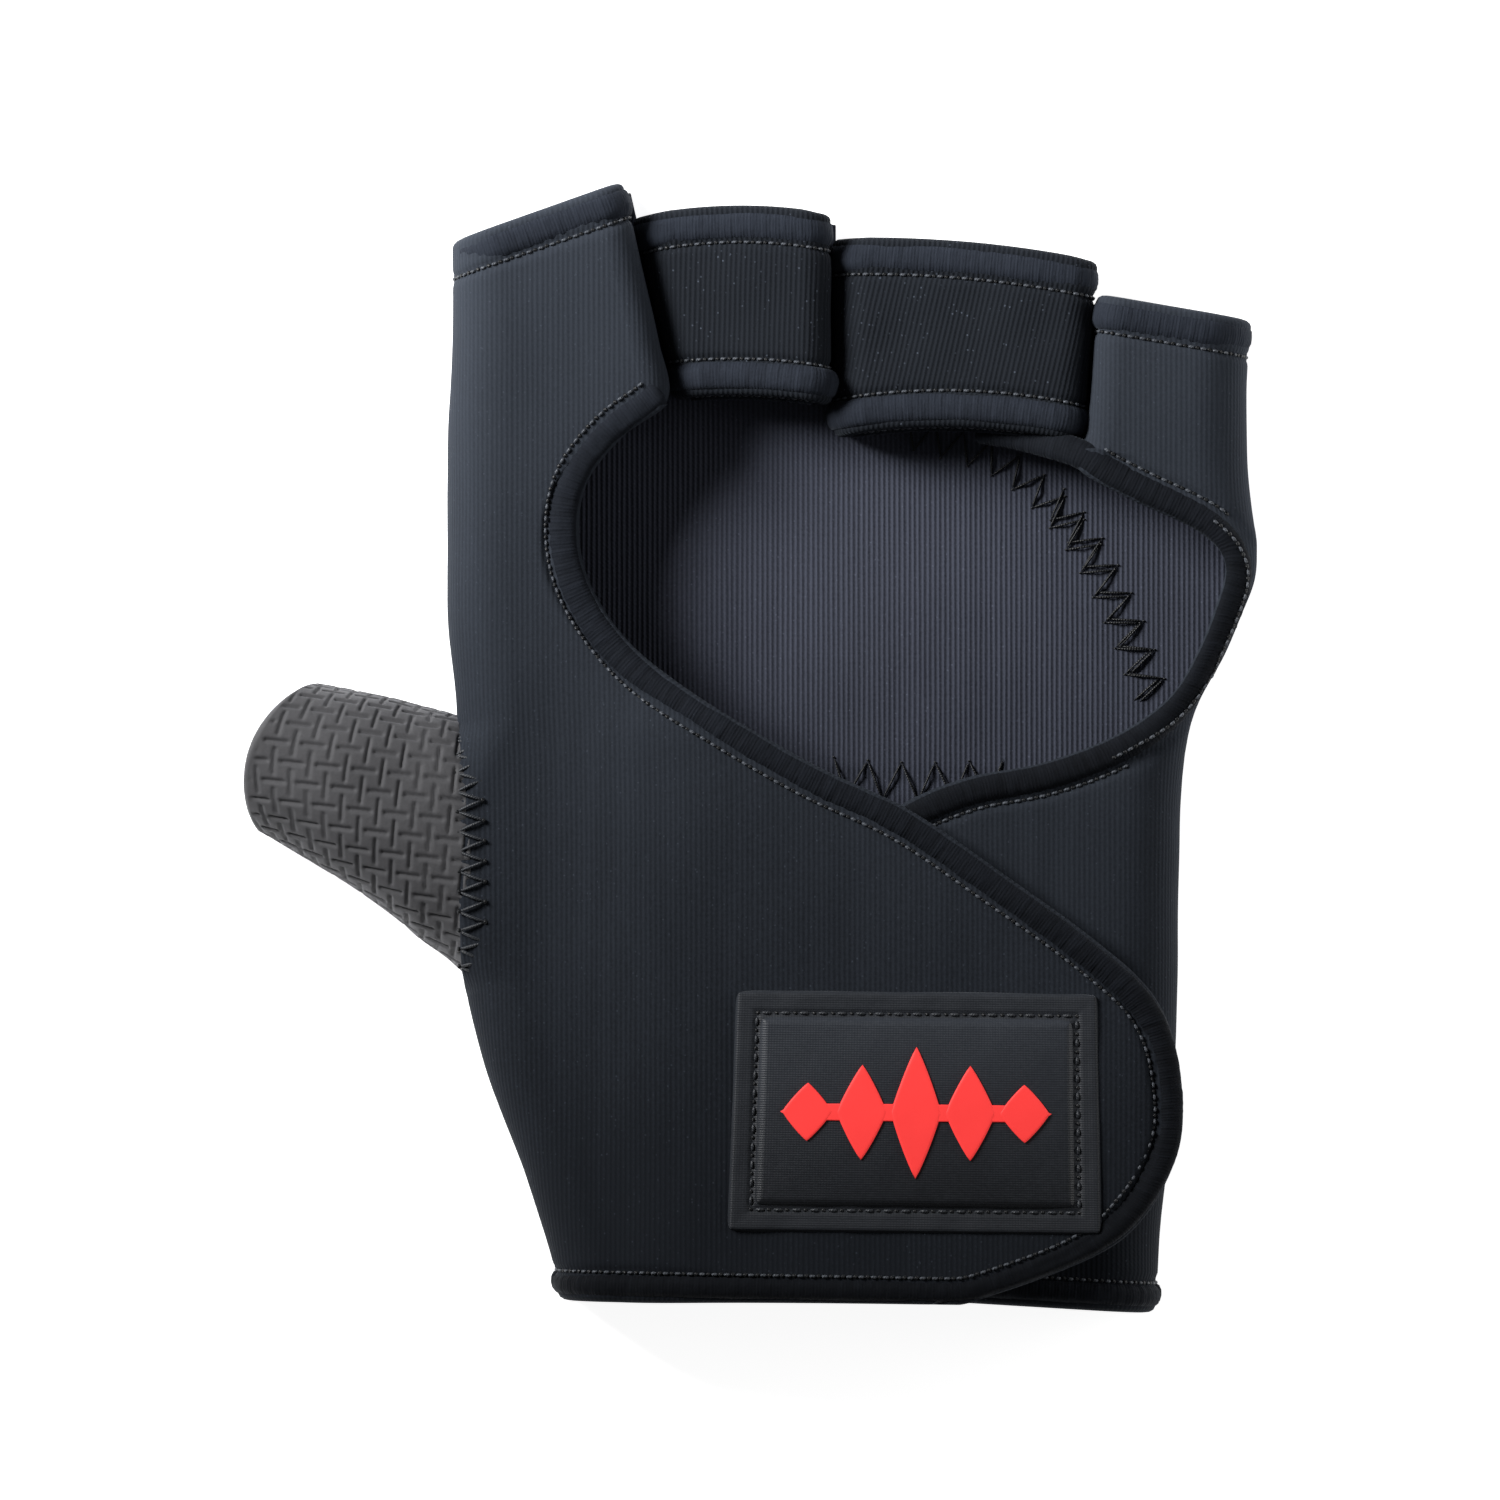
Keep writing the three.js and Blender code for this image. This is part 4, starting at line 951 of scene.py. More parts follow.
def grip_rubber(name, colour, embossed):
    """Foam-backed grip rubber: a fine leathery grain that is darker where it is low, and where asked the
    basket emboss as relief in the shading, its sunk dashes also painted darker: painted shade."""
    g = Graph(name)
    place = g.place()
    grain = g.noise(place, 3400, 4.0, 0.7)
    shade = g.layered(0.5, (grain, 0.9), (g.noise(place, 45, 3.0), 0.6))
    relief = g.add(g.cells(place, 1900), 0.5, g.math("MULTIPLY", grain, 0.8))
    if embossed:
        marks = basket(g, *g.weave()[:2])
        # Painted shade: the sunk dashes of the emboss are darker
        shade = g.add(marks, -0.5, shade)
        relief = g.add(marks, -6.0, relief)
    body = g.shades(shade, 0, 1, colour, 0.7, 1.3)
    rough = g.range(grain, 0.2, 0.8, 0.62, 0.85)
    return g.finish(body, rough, g.bump(relief, 0.05, 0.8), 0.35, 0.10, 0.5, (0.9, 0.92, 1.0, 1))


def sewing_thread(name, colour):
    """Twisted thread: slanting strands and a soft sheen."""
    g = Graph(name)
    along, around, _ = g.weave()
    twist = g.math("SINE", g.add(along, 2 * math.pi / 0.34, g.math("MULTIPLY", around, 9.0)))
    shade = g.add(twist, 0.3, g.noise(g.place(), 900))
    body = g.shades(shade, 0, 1, colour, 0.6, 1.5)
    return g.finish(body, 0.48, g.bump(twist, 0.03, 0.6), 0.5, 0.1, 0.3, SATIN_SHEEN)


def satin_cloth(name, colour, gloss, fall):
    """Woven satin: fine floats along x, crossed by fainter ends, over slow changes of shade. It
    darkens towards the wrist by its fall, counted from the label's middle: painted shade and highlight."""
    g = Graph(name)
    across, along, _ = g.weave()
    place = g.place()
    floats = g.math("SINE", g.math("MULTIPLY", along, 2 * math.pi / 0.3))
    ends = g.math("SINE", g.math("MULTIPLY", across, 2 * math.pi / 0.36))
    weave = g.add(ends, 0.4, floats)
    fuzz = g.noise(g.stretched(place, (1, 3, 1)), 1500, 3.0, 0.6)
    slow = g.noise(place, 55, 3.0)
    shade = g.layered(g.add(weave, 0.08, 0.45), (fuzz, 0.6), (slow, 0.5))
    # Painted shade and highlight: lighter above the label's middle, darker below it
    shade = g.add(g.towards_fingers(), fall, g.math("ADD", shade, -fall * LABEL_CENTRE[1] * MM))
    body = g.shades(shade, -0.2, 1.2, colour, 0.35, 1.75)
    rough = g.range(fuzz, 0.2, 0.8, gloss, gloss + 0.14)
    return g.finish(body, rough, g.bump(g.add(fuzz, 1.2, weave), 0.02, 0.5), 0.4, 0.08, 0.4, SATIN_SHEEN)


def printed_rubber(name, colour):
    """The label's red print: soft moulded rubber with a fine grain and slightly dusty shade. It glows a
    little: painted light.
    """
    g = Graph(name)
    place = g.place()
    grain = g.noise(place, 2400, 3.0, 0.6)
    shade = g.layered(g.add(g.noise(place, 120), 0.5, 0.25), (grain, 0.5))
    body = g.shades(shade, 0, 1, colour, 0.86, 1.08)
    # Painted light: a faint glow, so the red looks as bright as a well lit print
    g.glow(tone(colour, 1.05), 0.45)
    return g.finish(body, g.range(grain, 0.2, 0.8, 0.5, 0.66), g.bump(grain, 0.02, 0.5), 0.35)


def hook_tape(name, colour):
    """Hook fastener tape: rows of small stiff hooks over a woven ground."""
    g = Graph(name)
    hooks = g.cells(g.stretched(g.place(), (1, 0.7, 1)), 1100)
    return g.finish(g.shades(hooks, 0.1, 0.6, colour, 1.8, 0.6), 0.55, g.bump(hooks, 0.4, 0.9), 0.4)


def floor_paint(name, colour):
    """A pale matt floor with a very faint unevenness."""
    g = Graph(name)
    g.glow((1, 1, 1, 1), 0.9)
    return g.finish(g.shades(g.noise(g.place(), 6), 0, 1, colour, 0.985, 1.0), 0.9, None, 0.1)


# What a user would change

IN_METRES = {"unit": "LENGTH", "precision": 5}
AS_COLOUR = {"subtype": "COLOR", "size": 4, "min": 0, "max": 1}


class GloveSizes(bpy.types.PropertyGroup):
    """Sizes of the cloth, the sewing and the padding"""
    rib_pitch: bpy.props.FloatProperty(
        name="Rib pitch", description="Distance between the neoprene's ribs",
        default=0.00066, min=0.0003, max=0.003, **IN_METRES)
    stitch_pitch: bpy.props.FloatProperty(
        name="Stitch pitch", description="Distance between straight stitches along a binding",
        default=0.00158, min=0.0008, max=0.005, **IN_METRES)
    thread_width: bpy.props.FloatProperty(
        name="Thread width", description="Thickness of the sewing thread",
        default=0.0004, min=0.0001, max=0.001, **IN_METRES)
    crease_depth: bpy.props.FloatProperty(
        name="Crease depth", description="How strongly the bindings crease and pucker",
        default=0.00007, min=0.0, max=0.0005, **IN_METRES)
    emboss_depth: bpy.props.FloatProperty(
        name="Emboss depth", description="Depth of the thumb's basket emboss",
        default=0.00042, min=0.0, max=0.001, **IN_METRES)
    cushion_height: bpy.props.FloatProperty(
        name="Cushion height", description="How far the label's middle is padded up",
        default=0.0011, min=0.0, max=0.002, **IN_METRES)


class GloveColours(bpy.types.PropertyGroup):
    """Colours of the materials and the floor"""
    neoprene: bpy.props.FloatVectorProperty(
        name="Neoprene", description="Ribbed outer face", default=(0.0245, 0.029, 0.0375, 1), **AS_COLOUR)
    lining: bpy.props.FloatVectorProperty(
        name="Lining", description="Ribbed face inside the palm", default=(0.050, 0.055, 0.075, 1),
        **AS_COLOUR)
    binding: bpy.props.FloatVectorProperty(
        name="Binding", description="Tape round the edges", default=(0.0150, 0.0182, 0.0255, 1), **AS_COLOUR)
    grip: bpy.props.FloatVectorProperty(
        name="Grip", description="Rubber of the thumb and palm", default=(0.076, 0.0755, 0.080, 1),
        **AS_COLOUR)
    thread: bpy.props.FloatVectorProperty(
        name="Thread", description="Sewing thread", default=(0.070, 0.078, 0.092, 1), **AS_COLOUR)
    label: bpy.props.FloatVectorProperty(
        name="Label", description="Satin of the label", default=(0.020, 0.023, 0.029, 1), **AS_COLOUR)
    motif: bpy.props.FloatVectorProperty(
        name="Motif", description="Raised motif on the label", default=(0.90, 0.045, 0.042, 1), **AS_COLOUR)
    floor: bpy.props.FloatVectorProperty(
        name="Floor", description="Floor under the glove", default=(0.93, 0.93, 0.93, 1), **AS_COLOUR)


def finish_of(name):
    """A named finish, made the first time that it is asked for."""
    made = bpy.data.materials.get(name)
    if made:
        return made
    colours = bpy.context.scene.glove_colours
    pitch = bpy.context.scene.glove_sizes.rib_pitch / MM
    thread, binding = colours.thread, colours.binding
    makers = {
        "outer neoprene": (ribbed_neoprene, colours.neoprene, pitch, 0.26, 0.045, 0.03, 0.12),
        "band neoprene": (ribbed_neoprene, tone(colours.neoprene, 0.44), pitch, 0.5, 0.10, 0.04, 0.8),
        "palm lining": (ribbed_neoprene, colours.lining, pitch, 0.70, 0.11, 0.04, 0.1),
        "binding tape": (binding_tape, binding),
        # Painted shade: a darker copy of the binding for the strap's tape and the bands' under leaves
        "opening tape": (binding_tape, tone(binding, 0.62)),
        # A still darker copy of the binding: partly painted shade for its run under the ring band, partly the
        # tape's darker look down the side
        "little tape": (binding_tape, tone(binding, 0.40)),
        "thumb grip": (grip_rubber, colours.grip, False),
        "palm grip": (grip_rubber, colours.grip, True),
        "sewing thread": (sewing_thread, thread),
        "dark thread": (sewing_thread, tone(thread, 0.42)),
        "seam thread": (sewing_thread, tone(thread, 0.10)),
        # Painted shade: near-black slits for the shadow in the needle holes
        "needle holes": (sewing_thread, tone(thread, 0.12)),
        # The satins' last numbers set their painted shade and highlight, strongest on the padded middle
        "label satin": (satin_cloth, colours.label, 0.5, 8.0),
        "cushion satin": (satin_cloth, tone(colours.label, 1.1), 0.42, 38.0),
        "label print": (printed_rubber, colours.motif),
        "hook tape": (hook_tape, binding),
        "floor paint": (floor_paint, colours.floor),
    }
    maker, *values = makers[name]
    return maker(name, *values)


# The panels

Face = collections.namedtuple("Face", "points normals uv down rows widths")


def panel_rows(crotch, count):
    """Row numbers of a panel's sections, closer together at the hem and where the free edge begins."""
    step = CROTCH_RUN / 8
    near = np.arange(crotch - step, crotch + CROTCH_RUN + 2 * step, step)
    far = np.concatenate([np.linspace(0, 1, 24), np.linspace(1, LAST_ROW, count)[1:]])
    far = far[(far < near[0] - step) | (far > near[-1] + step)]
    return np.sort(np.concatenate([near, far]))


def stitch_dips(free, to_edge, down):
    """Dips along a panel's stitches: beside its free edge, below its hem and above its wrist edge."""
    dips = 0.45 * free * groove(to_edge, STITCH_INSET, 0.6) + 0.42 * groove(down, STITCH_INSET, 0.6)
    return dips + 0.42 * groove(down[-1:] - down, WRIST_INSET, 0.6)


def back_face():
    """Outer face of the back: its sections from hem to wrist, with dips along the stitches, small
    puckers beside the strap's tape and gentle unevenness away from the edges."""
    t = panel_rows(BACK_CROTCH, 190)
    spec = back_spec(t)
    points, normals = skin(spec, 14, 1 - (1 - between(112)) ** 1.6)
    uv = weave_map(points, 60)
    across, down = run_length(points, 1), run_length(points, 0)
    to_edge = across[:, -1:] - across
    free = smooth((t - BACK_CROTCH - CROTCH_RUN) / 0.1)[:, None]
    edge_run = run_length(points[:, -1])[:, None]
    pucker = 0.05 * np.cos(2 * np.pi * edge_run / 1.7) * np.exp(-((to_edge - 5.2) / 1.1) ** 2) * free
    inside = smooth(to_edge / 3) * smooth(across / 3)
    uneven = 0.28 * ripple(points[..., 0], points[..., 1], 46, 3) * inside
    points = points + normals * (stitch_dips(free, to_edge, down) + uneven + pucker)[..., None]
    return Face(points, normals, uv, down, t, spans(spec)[:, 0])


def little_face():
    """Outer face of the little finger's side, made as the back is. Its relief fades where the panel
    is narrow."""
    t = panel_rows(LITTLE_CROTCH, 200)
    spec = little_spec(t)
    points, normals = skin(spec, 14, between(80) ** 1.5)
    uv = weave_map(points, 50)
    across, down = run_length(points, 1), run_length(points, 0)
    free = smooth((t - LITTLE_CROTCH - CROTCH_RUN) / 0.1) * smooth((LITTLE_BINDING_END - 0.1 - t) / 0.4)
    edge = points[free > 0.5, 0]
    to_edge = np.stack([np.linalg.norm(row[:, None] - edge, axis=-1).min(axis=1) for row in points])
    uneven = 0.24 * ripple(points[..., 0], points[..., 1], 40, 8) * smooth(across / 3)
    widths = spans(spec)[:, 0]
    relief = (stitch_dips(free[:, None], to_edge, down) + uneven) * smooth((widths - 4) / 5)[:, None]
    return Face(points + normals * relief[..., None], normals, uv, down, t, widths)


def band_face(which):
    """Outer face of a band over a finger, slightly drawn in along both stitch lines."""
    t = np.linspace(0, 1, 70)
    spec = band_spec(which, t)
    points, normals = skin(spec, 16, between(72))
    uv = weave_map(points, 50) + np.array([RIB_LEAN[which], 0]) * points[..., 1:2]
    down = run_length(points)
    dips = 0.4 * groove(down, STITCH_INSET, 0.55) + 0.4 * groove(down[-1:] - down, STITCH_INSET, 0.55)
    uneven = 0.22 * ripple(points[..., 0], points[..., 1], 22, 11 + which)
    points = points + normals * (dips + uneven)[..., None]
    return Face(points, normals, uv, down, t, spans(spec)[:, 0])


class GLOVE_OT_panels(bpy.types.Operator):
    """Make the ribbed neoprene panels of the back, the little finger's side and both bands"""
    bl_idname = "glove.panels"
    bl_label = "Neoprene panels"

    def execute(self, context):
        back, little = back_face(), little_face()
        thinned = np.clip(0.34 * little.widths, 0.9, WALL)
        self.panel("back_shell", back, WALL, "outer neoprene", "back_panel")
        self.panel("little_shell", little, thinned, "outer neoprene", "little_panel")
        for which, name in enumerate(BAND_NAMES):
            self.panel(name + "_loop", band_face(which), WALL, "band neoprene", name + "_band")
        return {"FINISHED"}

    def panel(self, name, face, wall, cloth, node):
        """One closed wall under a face."""
        sheets = shell(face.points, face.normals, face.uv, wall)
        make_piece(name, sheets, finish_of(cloth), "neoprene", node)


# The bindings

def mouth_frames(spec):
    """Frames round a finger's mouth: over the section, round both lower corners and along the floor.
    The corners are quarter circles."""
    corner = MOUTH_CORNER
    low = dict(spec, left_end=np.full(1, corner), right_end=np.full(1, corner))
    s, z, along, up = (part[0] for part in profile(low, 22, between(62)))
    span = spans(spec)[0, 0]
    turn = np.linspace(0, np.pi / 2, 7)[1:]
    back_turn = turn[::-1]
    floor_s = mix(span - corner, corner, between(50))
    flat = 0 * floor_s
    right_s, left_s = span - corner + corner * np.cos(turn), corner - corner * np.sin(back_turn)
    s = np.concatenate([s, right_s, floor_s, left_s])
    z = np.concatenate([z, corner - corner * np.sin(turn), flat, corner - corner * np.cos(back_turn)])
    along = np.concatenate([along, np.cos(turn), flat, -np.sin(back_turn)])
    up = np.concatenate([up, -np.sin(turn), flat - 1, -np.cos(back_turn)])
    points, normals = placed(low, s[None], z[None], along[None], up[None])
    way = (spec["right"] - spec["left"])[0] / span
    inward = np.broadcast_to(np.array([way[1], -way[0], 0]), points[0].shape)
    depth = WALL + TAPE + 0.1
    side = np.minimum(s, span - s)
    outward = np.clip((depth - side) / depth, 0, 1) * np.where(s < span / 2, -1, 1)
    downward = -np.clip((depth - z) / depth, 0, 1)
    cut = np.stack([outward * way[0], outward * way[1], downward], -1)
    near = (side < depth) & (z < depth)
    return even_frames(points[0], inward, np.where(near[:, None], cut, normals[0]))


def even_frames(points, inward, normals):
    """Frames at equal steps of the path's length."""
    length = run_length(points)
    keep = np.concatenate([[True], np.diff(length) > 1e-6])
    length = length[keep]
    at = np.linspace(0, length[-1], int(length[-1] / PATH_STEP))
    points, inward, normals = (read_along(part[keep], length, at) for part in (points, inward, normals))
    return points, unit(inward), normals


def band_edge(which):
    """Frames along the lower edge of a band."""
    low = skin(band_spec(which, [1.0]), 16, between(60))[0][0]
    return edge_frames(softened(resampled(low), 2), 1)


def under_lip(frames, seed):
    """The tape's under leaf, which shows below the rounded edge: an oval bar along the frames."""
    points, inward, normal = frames
    turn = np.linspace(0, 2 * np.pi, 15)
    a = 0.6 - (0.6 + LIP_REACH) * np.cos(turn)
    middle = -WALL - 0.05
    wave = 1 + 0.25 * ripple(run_length(points)[:, None], a[None], 3.0, seed)
    rise = middle + 0.34 * np.sin(turn)[None] * wave
    grid = capped(points[:, None] + inward[:, None] * a[None, :, None] + normal[:, None] * rise[..., None])
    grid[..., 2] = np.maximum(grid[..., 2], LOWEST_TAPE)
    # Material number 1 is the darker copy of the tape: painted shade under the band's edge
    return grid, grid[..., :2], 1


def strap_path():
    """The edge of the opening, round the strap's end and along the wrist, up to the palm."""
    edge = end_points(back_spec(np.linspace(BACK_CROTCH + CROTCH_RUN, LAST_ROW - 0.4, 260)), "right")
    wrist = skin(back_spec([LAST_ROW]), 16, between(80))[0][0][::-1]
    keep = (wrist[:, 0] < edge[-1, 0] - 7.0) & (wrist[:, 2] > CLEAR_OF_PALM)
    return softened(resampled(np.concatenate([edge, wrist[keep]])), 16)


def little_path():
    """The little side's edge of the opening, run on under the ring band. Gives the path, the roll of
    its tape and the panel's row number at each point, 0 where there is no panel."""
    t = np.linspace(LITTLE_TAPE_START, LITTLE_BINDING_END, 300)
    edge = end_points(little_spec(t), "left")
    lead = curve_through(np.concatenate([TAPE_LEAD, edge[:1]]), 40)[:-1]
    points = np.concatenate([lead, edge])
    length = run_length(points)
    at = np.arange(0, length[-1], PATH_STEP)
    rows = np.interp(at, length, np.concatenate([np.zeros(len(lead)), t]))
    return softened(read_along(points, length, at), 12), through(LITTLE_ROLL, rows), rows


def tape_seat(frames, face, some, on):
    """Seats a tape: points level with its edge, carried onto some of the panel's face as far as on
    says, from 0 to 1, and the face's normals there."""
    points, inward, normal = frames
    on = on[:, None]

    def seat(wide):
        """The places and normals at each distance in from the edge, both smoothed along the tape."""
        places, ups = [], []
        for distance in wide.T:
            level = points + inward * distance[:, None]
            laid, up = laid_on(level, face.points[some], face.normals[some])
            places.append(mix(level, laid, on))
            ups.append(mix(normal, up, on))
        return softened(np.stack(places, 1), 4), unit(softened(np.stack(ups, 1), 6))
    return seat


def little_seat(frames, rows):
    """The little side's tape lies on the panel from the row where its free edge begins."""
    face = little_face()
    some = face.rows > LITTLE_TAPE_START - 0.15
    return tape_seat(frames, face, some, smooth((rows - LITTLE_TAPE_START) / 0.9))


def strap_seat(frames):
    """The strap's tape lies on the panel round the drooping end."""
    face = back_face()
    some = np.s_[np.argmax(face.rows > STRAP_TAPE_ROW):, face.points.shape[1] // 3:]
    start, end = STRAP_SEAT_X
    return tape_seat(frames, face, some, smooth((frames[0][:, 0] - start) / (end - start)))


class GLOVE_OT_bindings(bpy.types.Operator):
    """Make the folded tape round every mouth, band, opening and wrist edge"""
    bl_idname = "glove.bindings"
    bl_label = "Bindings"

    def execute(self, context):
        sizes = context.scene.glove_sizes
        # dark is the darker copy of the tape: painted shade on the strap and under the bands' edges
        tape, dark = finish_of("binding tape"), finish_of("opening tape")

        def tape_piece(name, sheets, material, node):
            """One tape, in its own node's place."""
            make_piece(name + "_tape", sheets, material, "binding_tape", node)

        for seed, (name, spec) in enumerate(zip(FINGERS, hem_specs())):
            sheets = bound_tape(mouth_frames(spec), sizes, 20 + seed, closed=True, proud=MOUTH_PROUD)
            tape_piece(name + "_mouth", sheets, tape, name + "_hem")
        for which, name in enumerate(BAND_NAMES):
            frames = band_edge(which)
            sheets = bound_tape(frames, sizes, 30 + which, floor=LOWEST_TAPE)
            sheets.append(under_lip(frames, 60 + which))
            tape_piece(name + "_edge", sheets, [tape, dark], name + "_band_binding")
        frames = edge_frames(strap_path(), -1)
        sheets = bound_tape(frames, sizes, 40, floor=LOWEST_TAPE, seat=strap_seat(frames))
        tape_piece("strap", sheets, dark, "strap_binding")
        path, rolls, rows = little_path()
        frames = edge_frames(path, 1, rolls)
        sheets = bound_tape(frames, sizes, 41, floor=LOWEST_TAPE, seat=little_seat(frames, rows))
        # The little side's tape takes the darkest copy of the binding: partly painted shade
        tape_piece("little", sheets, finish_of("little tape"), "little_binding")
        low = skin(little_spec([LAST_ROW]), 16, between(60))[0][0]
        frames = edge_frames(resampled(low[low[:, 2] > CLEAR_OF_PALM]), 1)
        tape_piece("little_wrist", bound_tape(frames, sizes, 42, floor=LOWEST_TAPE), tape, "little_wrist_hem")
        share = np.linspace(0, 1, 160)
        line = np.column_stack([*wrist_edge(share), np.full(160, PALM_WALL - TAPE)])
        tape_piece("palm_wrist", bound_tape(edge_frames(line, 1), sizes, 43), tape, "palm_wrist_hem")
        return {"FINISHED"}


# The palm

def wrist_edge(share):
    """x and y along the palm's wrist edge, a straight line bowed in by a parabola."""
    left, right = back_spec([LAST_ROW])["left"][0], little_spec([LAST_ROW])["right"][0]
    bow = WRIST_BOW * 4 * share * (1 - share)
    return mix(left[0], right[0], share), mix(left[1], right[1], share) + bow


def palm_lines(y):
    """x of the palm's five lengthwise lines at each y: its two edges and the three finger slits.
    Below the crotches the outer slits' lines run on straight down."""
    t = np.linspace(0, LAST_ROW, 300)
    share = np.linspace(0, 1, 9)
    middle = np.column_stack([middle_fold_x(share), mix(BAND_ROWS[0][1], BAND_ROWS[0][3], share) * LENGTH])
    return [fold_x(back_spec(t)["left"], y), fold_x(INDEX_FOLD, np.maximum(y, SLIT_FEET[0])) + SLIT_SHIFT,
            fold_x(middle, y) + SLIT_SHIFT, fold_x(LITTLE_FOLD, np.maximum(y, SLIT_FEET[1])) - SLIT_SHIFT,
            fold_x(little_spec(t)["right"], y)]


def seam_groove(x, y, seam):
    """A dip where the nearest of many points along a seam is close."""
    line = curve_through(seam, 90)
    distance = np.sqrt(((x[..., None] - line[:, 0]) ** 2 + (y[..., None] - line[:, 1]) ** 2).min(axis=-1))
    return groove(distance, 0, 0.5)


def palm_sheets():
    """Grids of the palm: for each finger a strip from the wrist to its hem, its top the lining and
    its underside the grip. Above the crotch a narrow slit parts neighbouring strips. The outer edges
    are half round."""
    crotch, round_edge, slit = 48.0, PALM_WALL / 2, 0.16
    rows = np.concatenate([np.linspace(0, 1, 120), np.linspace(1, 2, 30)[1:]])
    v = rows[:, None]
    above = rows >= 1
    # The five lines at y = 30 share the wrist's edge out among the fingers
    guess = [line[0] for line in palm_lines(np.array([30.0]))]
    sheets = []
    for k, (columns, hem) in enumerate(zip(PALM_COLUMNS, hem_specs())):
        share = np.linspace(0, 1, columns)
        fraction = (guess[k] + (guess[k + 1] - guess[k]) * share - guess[0]) / (guess[4] - guess[0])
        low_y = wrist_edge(fraction)[1] + round_edge
        high_y = plan(hem, (share * spans(hem)[0, 0])[None])[1][0] - 0.4
        y = np.where(v <= 1, mix(low_y[None], crotch, v), mix(crotch, high_y[None], v - 1))
        lines = palm_lines(y)
        gap = slit * smooth((y - crotch) / 1.2)
        first = lines[k] + (round_edge if k == 0 else gap)
        second = lines[k + 1] - (round_edge if k == 3 else gap)
        x = mix(first, second, share[None])
        lift = 0.12 * ripple(x, y, 30, 17) - 0.12
        lift = lift + 0.3 * (seam_groove(x, y, SIDE_SEAM) + seam_groove(x, y, WRIST_SEAM))
        lift = lift * (smooth(v / 0.03) * smooth((2 - v) / 0.03))
        if k == 0:
            lift[:, 0] = 0
        if k == 3:
            lift[:, -1] = 0
        top = np.stack([x, y, PALM_WALL + lift], -1)
        bottom = np.stack([x, y, 0 * y], -1)
        uv = np.stack([x, y], -1)
        sheets += [(top, uv, 0), (bottom, uv, 1)]
        for edge, outward, rounded in ((0, -1, k == 0), (-1, 1, k == 3)):
            a, b = top[:, edge], bottom[:, edge]
            if rounded:
                sheets.append((half_round(a, b, np.array([outward, 0, 0]) * round_edge), uv[:, edge]))
            else:
                sheets.append((np.stack([a[above], b[above]]), uv[above, edge]))
        sheets += [(np.stack([top[row], bottom[row]]), uv[row]) for row in (0, -1)]
    return sheets


class GLOVE_OT_palm(bpy.types.Operator):
    """Make the palm: ribbed lining above, embossed grip below"""
    bl_idname = "glove.palm"
    bl_label = "Palm"

    def execute(self, context):
        finishes = [finish_of("palm lining"), finish_of("palm grip")]
        make_piece("palm_body", palm_sheets(), finishes, "grip_palm", "palm_panel")
        return {"FINISHED"}


# The thumb

def thumb_loop(t, wall, angle):
    """Points of the stall: superellipse sections over a flat underside, at rows t and angles, moved
    in by the wall. Its first row follows the back's edge. Gives each section's direction too."""
    upper_x, upper_y, lower_x, lower_y, height, bulge = (through(part, t)[:, None] for part in THUMB_ROWS.T)
    upper = np.stack([upper_x * WIDTH, upper_y * LENGTH], -1)
    lower = np.stack([lower_x * WIDTH, lower_y * LENGTH], -1)
    span = np.linalg.norm(upper - lower, axis=-1)
    across = (upper - lower) / span[..., None]
    middle = (upper + lower) / 2
    wall = np.broadcast_to(wall, len(t))[:, None]
    level = np.maximum(SEAM_Z, wall + 1)
    sin, cos = np.sin(angle)[None], np.cos(angle)[None]
    flat = np.abs(cos) ** (2 / THUMB_FULLNESS) * np.sign(cos)
    offset = flat * (span / 2 - wall)
    up = np.where(sin >= 0, np.abs(sin) ** (2 / THUMB_FULLNESS), np.abs(sin) ** 0.5)
    z = np.where(sin >= 0, mix(level, height * BACK_TOP - wall, up), mix(level, wall, up))
    bow = bulge * LENGTH * (1 - flat ** 2) ** THUMB_TIP_ROUNDING
    y = middle[..., 1] + across[..., 1] * offset + across[..., 0] * bow
    ruled = middle[..., 0] + across[..., 0] * offset - across[..., 1] * bow
    seam = fold_x(back_spec(np.linspace(0, LAST_ROW, 300))["left"], y) - GAP + 1.4
    return np.stack([mix(seam, ruled, smooth(t)[:, None]), y, z], -1), across


def thumb_angles(count):
    """Angles that part a section halfway along the stall into equal lengths, from its underside."""
    fine = np.linspace(-np.pi / 2, 1.5 * np.pi, 2001)
    length = run_length(thumb_loop(np.array([1.5]), 0.0, fine)[0][0])
    return np.interp(np.linspace(0, length[-1], count), length, fine)


def unrolled(points, across, crest):
    """Each point's place on the flat rubber: its way along the section from the crest, laid out
    straight, then turned a little."""
    run = run_length(points, 1)
    arc = -(run - run[:, crest:crest + 1])
    p = points[:, crest:crest + 1, 0] + arc * across[..., 0]
    q = points[:, crest:crest + 1, 1] + arc * across[..., 1]
    sin, cos = math.sin(EMBOSS_TURN), math.cos(EMBOSS_TURN)
    return p * cos - q * sin, p * sin + q * cos


def emboss(p, q):
    """Relief of the basket emboss, 0 on the pads and 1 in the dashes: level dashes where the
    lattice counts add to an even number, upright ones where they add to an odd number."""
    def dashes(a, b, odd):
        """Dashes along a: a bell across b, cut off at both ends."""
        near_b = np.round(b)
        parity = np.mod(near_b + odd, 2)
        near_a = 2 * np.round((a - parity) / 2) + parity
        reach = 1 - smooth((np.abs(a - near_a) - 0.6) / 0.18)
        return np.exp(-((b - near_b) / 0.095) ** 2) * reach

    i, j = p / EMBOSS_PITCH[0], q / EMBOSS_PITCH[1]
    return np.maximum(dashes(i, j, 0), 0.85 * dashes(j, i, 1))


